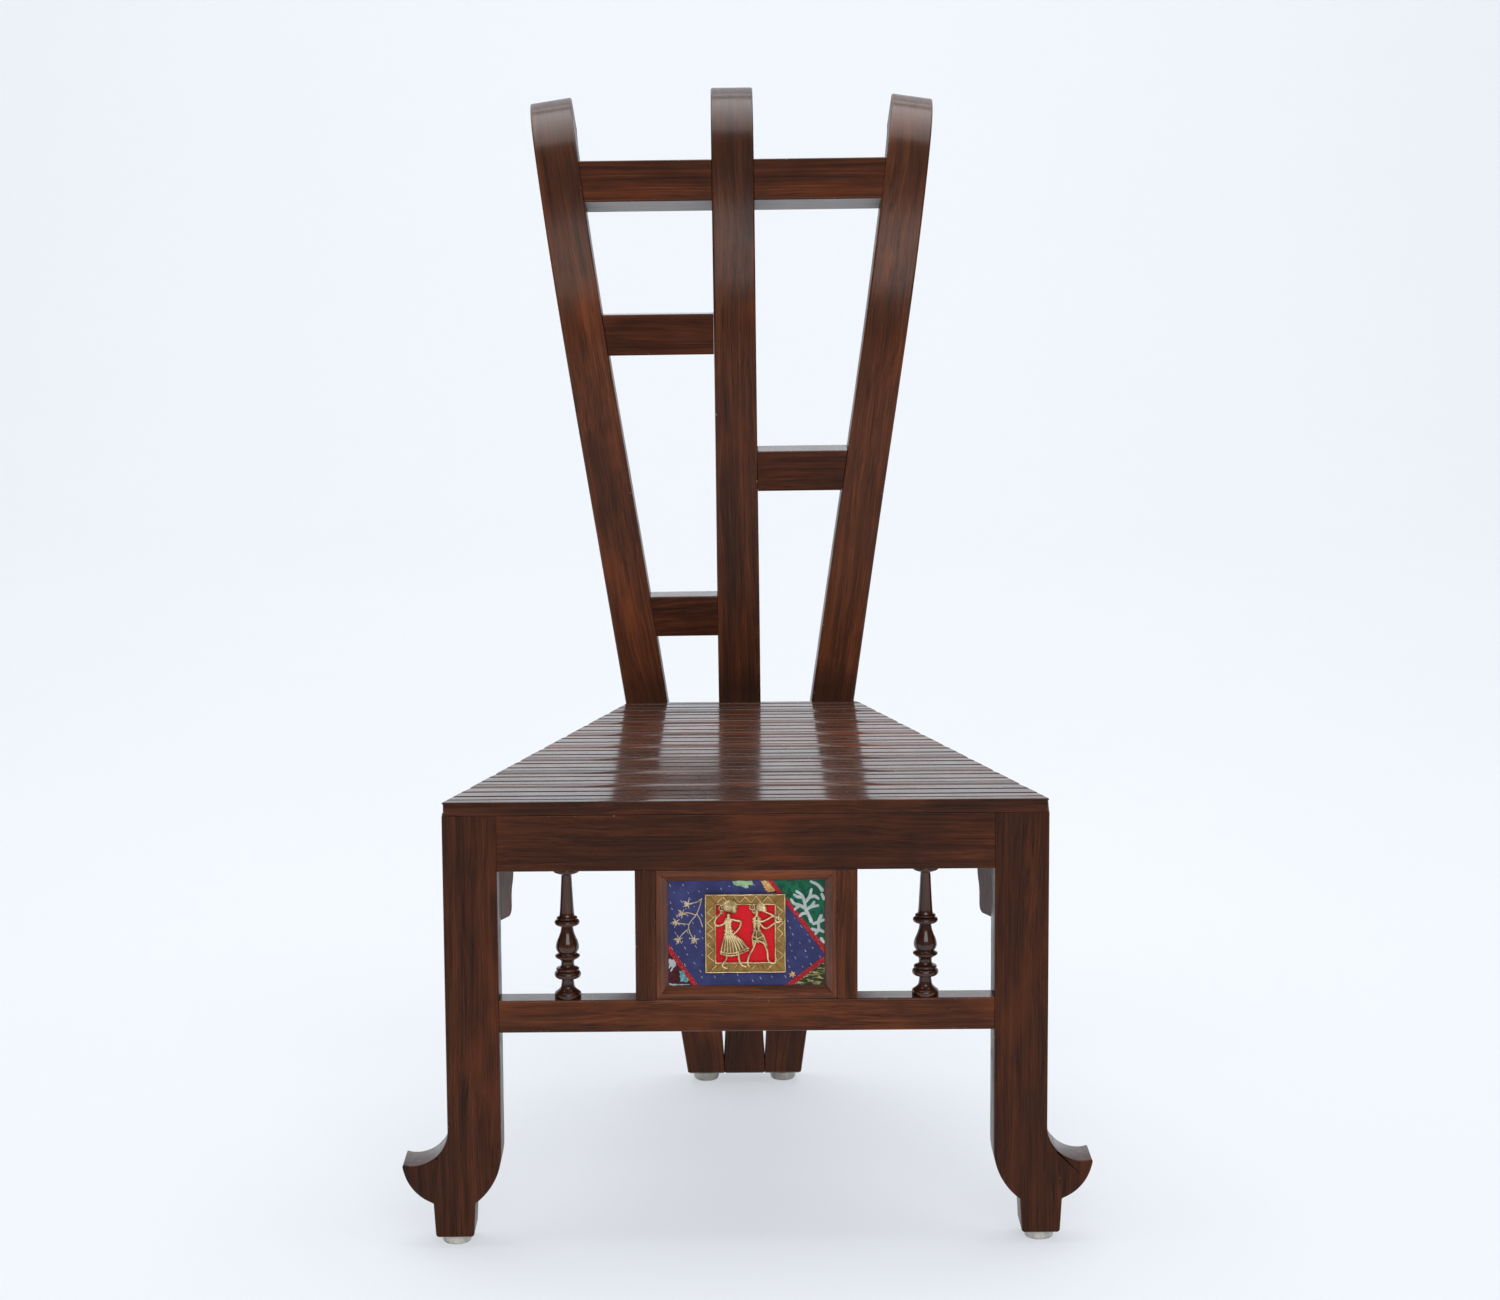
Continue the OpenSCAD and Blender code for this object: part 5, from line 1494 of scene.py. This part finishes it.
DANCER = [
    (1.75, 5.9, [(-15.5, 18.6), (-15.6, 14.5)]),
    (1.0, 5.3, [(-21.8, 20.4), (-26.6, 15.5), (-28.4, 11.3), (-25.9, 7.6), (-21.2, 8.8),
                (-17.1, 12.4)]),
    (1.0, 5.3, [(-13.0, 13.9), (-8.6, 12.6), (-4.2, 11.2), (-5.4, 6.1), (-8.6, 1.9),
                (-11.8, -0.5)]),
    (1.7, 5.8, [(-17.5, 13.6), (-17.4, 8.0), (-17.6, 1.2)]),
    (1.7, 5.8, [(-13.9, 13.6), (-14.4, 8.0), (-13.2, 1.2)]),
    (0.8, 4.95, [(-15.8, 14.2), (-16.0, 8.0), (-15.5, 1.0)]),
    (0.6, 4.9, [(-19.2, 11.9), (-15.8, 10.6), (-12.4, 12.1)]),
    (0.7, 4.9, [(-19.5, 3.2), (-15.6, 2.0), (-11.6, 3.0)]),
    (0.85, 4.8, [(-19.7, -0.4), (-15.5, 0.5), (-10.8, -0.7)]),
    (1.05, 5.2, [(-17.7, -18.8), (-17.8, -23.6), (-21.2, -29.0), (-20.0, -31.8),
                 (-16.6, -32.9)]),
    (1.05, 5.2, [(-6.5, -18.6), (-5.7, -25.3), (-3.3, -29.8), (0.3, -31.4)]),
    (0.7, 4.75, [(-11.2, -0.8), (-6.0, -5.0), (-1.4, -10.0), (3.0, -14.0)]),
    (0.7, 4.75, [(-18.9, -0.8), (-20.9, -8.5), (-23.0, -17.3)]),
    (0.75, 4.7, [(-23.4, -16.6), (-18.2, -18.2), (-12.0, -18.4), (-6.4, -17.2), (-1.6, -15.0),
                 (3.0, -13.4)]),
    (0.75, 4.7, [(-23.2, -18.6), (-18.0, -20.4), (-11.8, -20.6), (-6.0, -19.3), (-1.2, -17.2),
                 (3.2, -15.4)]),
]
MUSICIAN = [
    (1.6, 5.9, [(10.9, 21.0), (10.6, 16.5)]),
    (0.85, 4.9, [(17.2, 21.4), (25.1, 17.7), (33.2, 13.5)]),
    (1.0, 5.2, [(12.0, 12.6), (15.5, 11.4), (20.4, 13.6), (25.4, 16.3), (28.8, 14.4)]),
    (1.0, 5.2, [(13.4, 9.9), (17.0, 5.8), (20.4, 5.2), (25.9, 9.1), (31.4, 11.6)]),
    (1.6, 5.8, [(8.9, 15.2), (8.6, 9.7), (8.9, 3.6)]),
    (1.6, 5.8, [(12.4, 15.0), (12.3, 9.7), (12.4, 3.6)]),
    (0.65, 4.85, [(7.0, 14.4), (10.5, 12.2), (14.2, 14.2)]),
    (0.65, 4.85, [(7.0, 11.6), (10.5, 9.4), (14.2, 11.4)]),
    (0.75, 4.8, [(7.4, 3.4), (10.6, 2.6), (14.2, 3.4)]),
    (0.9, 5.1, [(8.6, 3.0), (6.6, -3.0), (7.6, -11.8)]),
    (0.9, 5.1, [(12.9, 3.0), (17.2, -3.0), (20.0, -11.8)]),
    (0.9, 5.0, [(10.4, 3.0), (10.4, -3.0), (12.0, -8.5)]),
    (0.7, 4.8, [(7.2, -2.0), (11.5, -4.5), (17.0, -1.6)]),
    (0.7, 4.8, [(7.2, -7.0), (12.0, -6.6), (16.5, -9.0), (19.6, -10.8)]),
    (1.05, 5.2, [(10.2, -5.8), (7.4, -13.3), (3.6, -20.6), (2.0, -26.8), (3.3, -30.9)]),
    (1.05, 5.2, [(16.6, -7.6), (20.2, -16.2), (20.8, -23.7), (23.0, -27.6), (27.2, -27.8),
                 (28.5, -23.4)]),
]


def comb_ridge(root, tip, middle, size, centre):
    """A comb line over a head's dome: a straight run whose depth is y - ry sqrt(1 - r r).

    r is the run's distance from the dome's middle in its own radii, so the wire lies half sunk.
    """
    p = np.asarray(root) + (np.asarray(tip) - root) * np.linspace(0, 1, 14)[:, None]
    r2 = ((p - (middle[0], middle[2])) ** 2 / (size[0] ** 2, size[2] ** 2)).sum(1)
    depth = middle[1] - size[1] * np.sqrt(np.maximum(1 - r2, 0.02)) - 0.1
    return drawn(p, depth, centre, 0.42, 6)


def plate_border(panel, mid):
    """The plate's border: four mitred bars, each with two wires along it and wires between.

    Bar 0 lies on top and the others are turned by quarter circles. Between the two wires runs
    a zigzag of five teeth, and on the lowest bar lie five short slanting wires instead.
    """
    width, border, thick, wire_r = mm(panel, "plate_w", "plate_border", "plate_t", "wire_r")
    out, inner = width / 2, width / 2 - border
    base, teeth = PLATE_BACK - thick, 5
    shells = []
    for turn in range(4):
        def place(u, v, along):
            z = (out + inner) / 2 + u
            return turned(mid, 90 * turn, (along / 100 - 1) * (z - 0.02), base + thick / 2 + v, z)

        def lay(x, z, radius, depth):
            shells.append(wire(turned(mid, 90 * turn, x, depth, z), radius))

        bar = board(border, thick, 200, place, 0.6, 0.02, 40, turn, 0.0)
        x, _, z = bar.points.T
        bar.points[:, 1] += 0.09 * np.sin(x * 0.9 + turn) * np.sin(z * 0.8)
        shells.append(bar)
        x = np.linspace(-1, 1, 60)
        for at in (inner + 0.7, out - 0.8):
            lay(x * at, at + 0.12 * np.sin(x * 9 + turn + at), wire_r * 1.1, base)
        if turn == 2:
            for x in (-24.0, -9.0, 8.5, 17.0, 27.5):
                lay(x + np.array([0, 1.5, 3.4]), inner + np.array([3.2, 5.0, 6.6]), wire_r * 0.9,
                    base + 0.1)
        else:
            k = np.arange(2 * teeth + 1)
            x = (k / teeth - 1) * (inner - 1.2) + 0.3 * np.sin(k * 2.3 + turn)
            z = (inner + out) / 2 + 2.9 * np.where(k % 2 == 0, -1, 1) + 0.2 * np.cos(k * 1.9)
            t = np.linspace(0, 2 * teeth, 2 * teeth * 5 + 1)
            lay(np.interp(t, k, x), np.interp(t, k, z), wire_r, base + 0.05)
    return shells


class CHAIR_OT_brass_plate(bpy.types.Operator):
    """Makes the square brass plate: border, zigzag wires and two cast figures"""
    bl_idname = "chair.brass_plate"
    bl_label = "Brass plate"

    def execute(self, context):
        front, panel = context.scene.chair_front, context.scene.chair_panel
        _, low, high = opening(front, panel)
        mid = (PLATE_X, (high + low) / 2)
        shells = plate_border(panel, mid)
        shells += figure_wires(DANCER, mid) + figure_wires(MUSICIAN, mid)

        def dome(centre, radii, around, rows):
            shells.append(ball(np.add(centre, (mid[0], 0, mid[1])), radii, around, rows))

        dancer, player = (-14.6, 5.9, 26.6), (14.4, 5.9, 25.4)
        dancer_size, player_size = (8.2, 2.0, 6.6), (5.2, 1.9, 5.0)
        dome(dancer, dancer_size, 28, 15)
        dome((-10.4, 5.6, 22.4), (3.1, 1.9, 3.5), 20, 11)
        for k in range(11):
            a = math.radians(24 + 15 * k)
            tip = (-14.6 + 7.7 * math.cos(a), 26.6 + 6.2 * math.sin(a))
            shells.append(comb_ridge((-11.9, 24.6), tip, dancer, dancer_size, mid))
        dome(player, player_size, 26, 13)
        dome((17.4, 5.6, 23.2), (2.9, 1.8, 3.3), 18, 11)
        for k in range(5):
            z = 23.5 + 1.6 * k
            reach = math.sqrt(max(0.2, 1 - ((z - 25.4) / 5.3) ** 2)) * 4.9
            shells.append(comb_ridge((14.2 - reach * 0.9, z - 0.4), (14.2 + reach * 0.4, z + 0.2),
                                     player, player_size, mid))
        for x, z, r in ((-9.0, 23.7, 0.5), (18.6, 24.0, 0.42)):
            dome((x, 4.2, z), (r, 0.35, r * 0.7), 10, 7)
        for x, z, r, w in ((-21.8, 24.6, 2.5, 0.75), (6.4, 25.2, 2.3, 0.7), (8.4, 21.4, 1.7, 0.6),
                           (30.8, 13.4, 2.6, 0.8), (-21.6, 20.9, 1.5, 0.6)):
            shells.append(ring_wire((x, z), r, w, 5.0, mid))
            dome((x, 5.2, z), (r * 0.45, 0.9, r * 0.45), 12, 7)
        for x, z in ((8.0, 12.9), (10.5, 11.6), (13.0, 12.8), (8.4, 9.0), (12.6, 9.0),
                     (8.6, 6.4), (12.4, 6.4), (10.5, 7.6)):
            dome((x, 4.75, z), (0.85, 0.7, 0.85), 10, 7)
        t = np.linspace(0, 1, 9)
        top = np.stack([-18.3 + 7.2 * t, np.full(9, -0.9)], 1)
        hem = np.stack([-22.8 + 24.8 * t, -17.9 - 1.6 * np.sin(t * math.pi) + 3.6 * t ** 3], 1)
        for a, b in zip(top, hem):
            fold = (a + b) / 2 + [0.0875 * (b[0] - a[0]), 1.0]
            shells += figure_wires([(1.0, 5.35, [a, fold, b])], mid)
        cloth = [(8.4, 2.6), (13.2, 2.6), (17.2, -2.6), (19.6, -10.4), (15.0, -8.2),
                 (11.2, -6.2), (8.4, -9.8), (7.2, -3.0)]
        for outline, thick, depth in ((np.concatenate([top, hem[::-1]]), 1.9, 5.45),
                                      (cloth, 1.8, 5.5)):
            shells.append(plate(outline, thick, lambda p, q, v: np.stack(
                [p + mid[0], depth + v, q + mid[1]], -1), 0.3, steps=2))
        make_piece("brass_plate_cast", shells, brass_material(context.scene.chair_finish),
                   ["brass_plate"], sharp=60)
        return {"FINISHED"}


class CHAIR_OT_glides(bpy.types.Operator):
    """Makes the four plastic floor glides"""
    bl_idname = "chair.glides"
    bl_label = "Floor glides"

    def execute(self, context):
        look = context.scene.chair_finish
        material, tree, shader = start("glide_plastic", Specular_IOR_Level=0.4)
        smudge = use(tree, "smudges", Place=object_place(tree), Size=7.0)["Smudge"]
        soil = (ramp(smudge, 0.42, 0.7) * (attribute(tree, "edge", "Fac") + 0.25)).held()
        fill(shader, Base_Color=blend(soil, rgba(look.plastic), rgba(look.plastic, 0.5)),
             Roughness=ramp(smudge, 0.3, 0.8, 0.32, 0.6))
        to_bump(shader, smudge, 0.3, 0.0002)
        profile = [(0.3, 0), (10.2, 0), (11.2, 0.12), (12.2, 0.5), (12.95, 1.15), (13.35, 2.0),
                   (13.6, 3.2), (14.6, 8.6), (14.9, 9.8), (14.7, 10.35), (14.2, 10.48),
                   (0.3, 10.48)]
        mask = [0, 0, 0.5, 1, 1, 0.8, 0.3, 0.1, 0.8, 1, 0.6, 0]
        for name in ("glide_front_left", "glide_front_right", "glide_rear_left",
                     "glide_rear_right"):
            low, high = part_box(name)
            centre = ((low.x + high.x) * 500, ((low.y + high.y) / 2 - FRONT_Y) * 1000, 0)
            make_piece(name + "_moulded", [lathe(profile, centre, 40, 0, mask)], material,
                       [name], sharp=50)
        return {"FINISHED"}


class CHAIR_OT_hidden_parts(bpy.types.Operator):
    """Gives the packed nodes that stay as they are their materials: board, nails and dowels"""
    bl_idname = "chair.hidden_parts"
    bl_label = "Board, nails and dowels"

    def execute(self, context):
        look = context.scene.chair_finish
        board_wood = rosewood("rosewood_board", look, 0.9, 1.0, 8.0, 0.2, 0.2,
                              cad=(0, math.pi / 2, 0))
        dowel, tree, shader = start("dowel_wood")
        grain = use(tree, "wood grain", Place=object_place(tree), Streak_Width=3.0)
        fill(shader, Base_Color=blend(grain["Streak"], (0.42, 0.24, 0.10, 1),
                                      (0.24, 0.12, 0.05, 1)),
             Roughness=ramp(grain["Fibre"], 0.2, 0.8, 0.5, 0.7))
        to_bump(shader, grain["Fibre"], 0.4, 0.0002)
        nail, tree, shader = start("nail_steel", Metallic=1.0)
        smudge = use(tree, "smudges", Place=object_place(tree), Size=4.0)["Smudge"]
        fill(shader, Base_Color=blend(smudge, (0.55, 0.55, 0.56, 1), (0.25, 0.24, 0.23, 1)),
             Roughness=ramp(smudge, 0.3, 0.7, 0.25, 0.5))
        for name, material in (("panel_board", board_wood), ("slat_dowels", dowel),
                               ("glide_nails", nail)):
            mesh = frame["nodes"][name].data
            mesh.materials.clear()
            mesh.materials.append(material)
        return {"FINISHED"}


# ---------------------------------------------------------------- stage

def lamp(name, energy, place, aim, size, wide):
    """A soft box lamp at a place, turned to its aim."""
    data = bpy.data.lights.new(name, "AREA")
    data.energy = energy
    data.shape = "RECTANGLE"
    data.size, data.size_y = size, wide
    made = bpy.data.objects.new(name, data)
    bpy.context.scene.collection.objects.link(made)
    made.location = place
    made.rotation_euler = (Vector(aim) - Vector(place)).to_track_quat("-Z", "Y").to_euler()
    return made


def ray(tree, kind):
    """1 for rays of the given kind, 0 for others."""
    return Value(node(tree, "LightPath"), f"Is {kind} Ray")


class CHAIR_OT_stage(bpy.types.Operator):
    """Makes the pale floor and backdrop, the soft lamps and the camera"""
    bl_idname = "chair.stage"
    bl_label = "Stage, lamps and camera"

    def execute(self, context):
        scene = context.scene
        a = np.linspace(0, math.pi / 2, 40)
        y = np.concatenate([[-9.0], 4.5 + 2.5 * np.sin(a), [7.0]])
        z = np.concatenate([[0.0], 2.5 * (1 - np.cos(a)), [9.0]])
        pts = np.stack(np.broadcast_arrays([[-11.0], [11.0]], y, z), -1)
        mesh = bpy.data.meshes.new("studio_sweep")
        mesh.from_pydata(pts.reshape(-1, 3).tolist(), [],
                         grid_faces(2, len(y))[:, ::-1].tolist())
        mesh.polygons.foreach_set("use_smooth", np.ones(len(mesh.polygons), bool))
        sweep = bpy.data.objects.new("studio_sweep", mesh)
        scene.collection.objects.link(sweep)
        material, tree, shader = start("studio_paper", Roughness=0.9, Specular_IOR_Level=0.1)
        fleck = noise(object_place(tree, 3), None, 3, 0.5)
        fill(shader, Base_Color=blend(fleck, (0.85, 0.88, 0.92, 1), (0.87, 0.90, 0.94, 1)))
        seen = (ray(tree, "Camera") + ray(tree, "Glossy") + ray(tree, "Transmission")).held()
        glow = node(tree, "Emission", {0: (0.875, 0.910, 0.960, 1), 1: 1.0})
        both = node(tree, "MixShader", {0: seen * 0.55, 1: Value(shader), 2: Value(glow)})
        fill(tree.nodes["Material Output"], Surface=Value(both))
        mesh.materials.append(material)

        world = bpy.data.worlds.new("studio")
        scene.world = world
        world.use_nodes = True
        tree = world.node_tree
        fill(tree.nodes["Background"], Color=(0.93, 0.96, 1.0, 1),
             Strength=ray(tree, "Glossy") * -0.28 + ray(tree, "Camera") * 0.52 + 0.40)
        lamp("overhead_box", 66, (0.0, 0.3, 3.1), (0, 0.1, 0.4), 3.6, 2.2)
        lamp("front_box", 78, (0.5, -4.2, 2.7), (0, 0, 0.6), 3.0, 2.2)
        lamp("backdrop_box", 150, (0.0, 3.2, 4.6), (0, 6.6, 1.2), 6.0, 1.6)

        data = bpy.data.cameras.new("camera")
        camera = bpy.data.objects.new("camera", data)
        scene.collection.objects.link(camera)
        scene.camera = camera
        yaw, pitch, roll = 0.00749, -0.12599, -0.00577
        fwd = np.array([math.sin(yaw) * math.cos(pitch), math.cos(yaw) * math.cos(pitch),
                        math.sin(pitch)])
        right = np.array([math.cos(yaw), -math.sin(yaw), 0])
        up = np.cross(right, fwd)
        r = right * math.cos(roll) + up * math.sin(roll)
        u = up * math.cos(roll) - right * math.sin(roll)
        spot = home([-15.028, -2739.493, 1030.548])
        pose = np.eye(4)
        pose[:3] = np.stack([r, u, -fwd, spot], 1)
        camera.matrix_world = Matrix(pose.tolist())
        data.sensor_width = 36
        data.lens = 72.88
        data.shift_y = -0.085
        data.clip_start, data.clip_end = 0.05, 60
        scene.view_settings.view_transform = "Standard"
        return {"FINISHED"}


# ---------------------------------------------------------------- add-on

OPERATORS = (CHAIR_OT_front_frame, CHAIR_OT_panel_frame, CHAIR_OT_patchwork,
             CHAIR_OT_brass_plate, CHAIR_OT_seat, CHAIR_OT_seat_frame, CHAIR_OT_back,
             CHAIR_OT_glides, CHAIR_OT_hidden_parts, CHAIR_OT_stage)
GROUP_TYPES = {"chair_front": ChairFront, "chair_panel": ChairPanel, "chair_seat": ChairSeat,
               "chair_back": ChairBack, "chair_finish": ChairFinish}


class CHAIR_PT_sidebar(bpy.types.Panel):
    """Lists the chair's sizes, colours and makers in the sidebar"""
    bl_idname = "CHAIR_PT_sidebar"
    bl_label = "Slipper chair"
    bl_space_type = "VIEW_3D"
    bl_region_type = "UI"
    bl_category = "Chair"

    def draw(self, context):
        for maker in OPERATORS:
            self.layout.operator(maker.bl_idname)
        for name, kind in GROUP_TYPES.items():
            box = self.layout.box()
            box.label(text=kind.__doc__)
            for key in kind.__annotations__:
                box.prop(getattr(context.scene, name), key)


def register():
    for kind in (*GROUP_TYPES.values(), *OPERATORS, CHAIR_PT_sidebar):
        bpy.utils.register_class(kind)
    for name, kind in GROUP_TYPES.items():
        setattr(bpy.types.Scene, name, PointerProperty(type=kind))


def unregister():
    for name in GROUP_TYPES:
        delattr(bpy.types.Scene, name)
    for kind in (CHAIR_PT_sidebar, *OPERATORS[::-1], *GROUP_TYPES.values()):
        bpy.utils.unregister_class(kind)


def main():
    register()
    for maker in OPERATORS:
        area, name = maker.bl_idname.split(".")
        getattr(getattr(bpy.ops, area), name)()


if __name__ == "__main__":
    main()
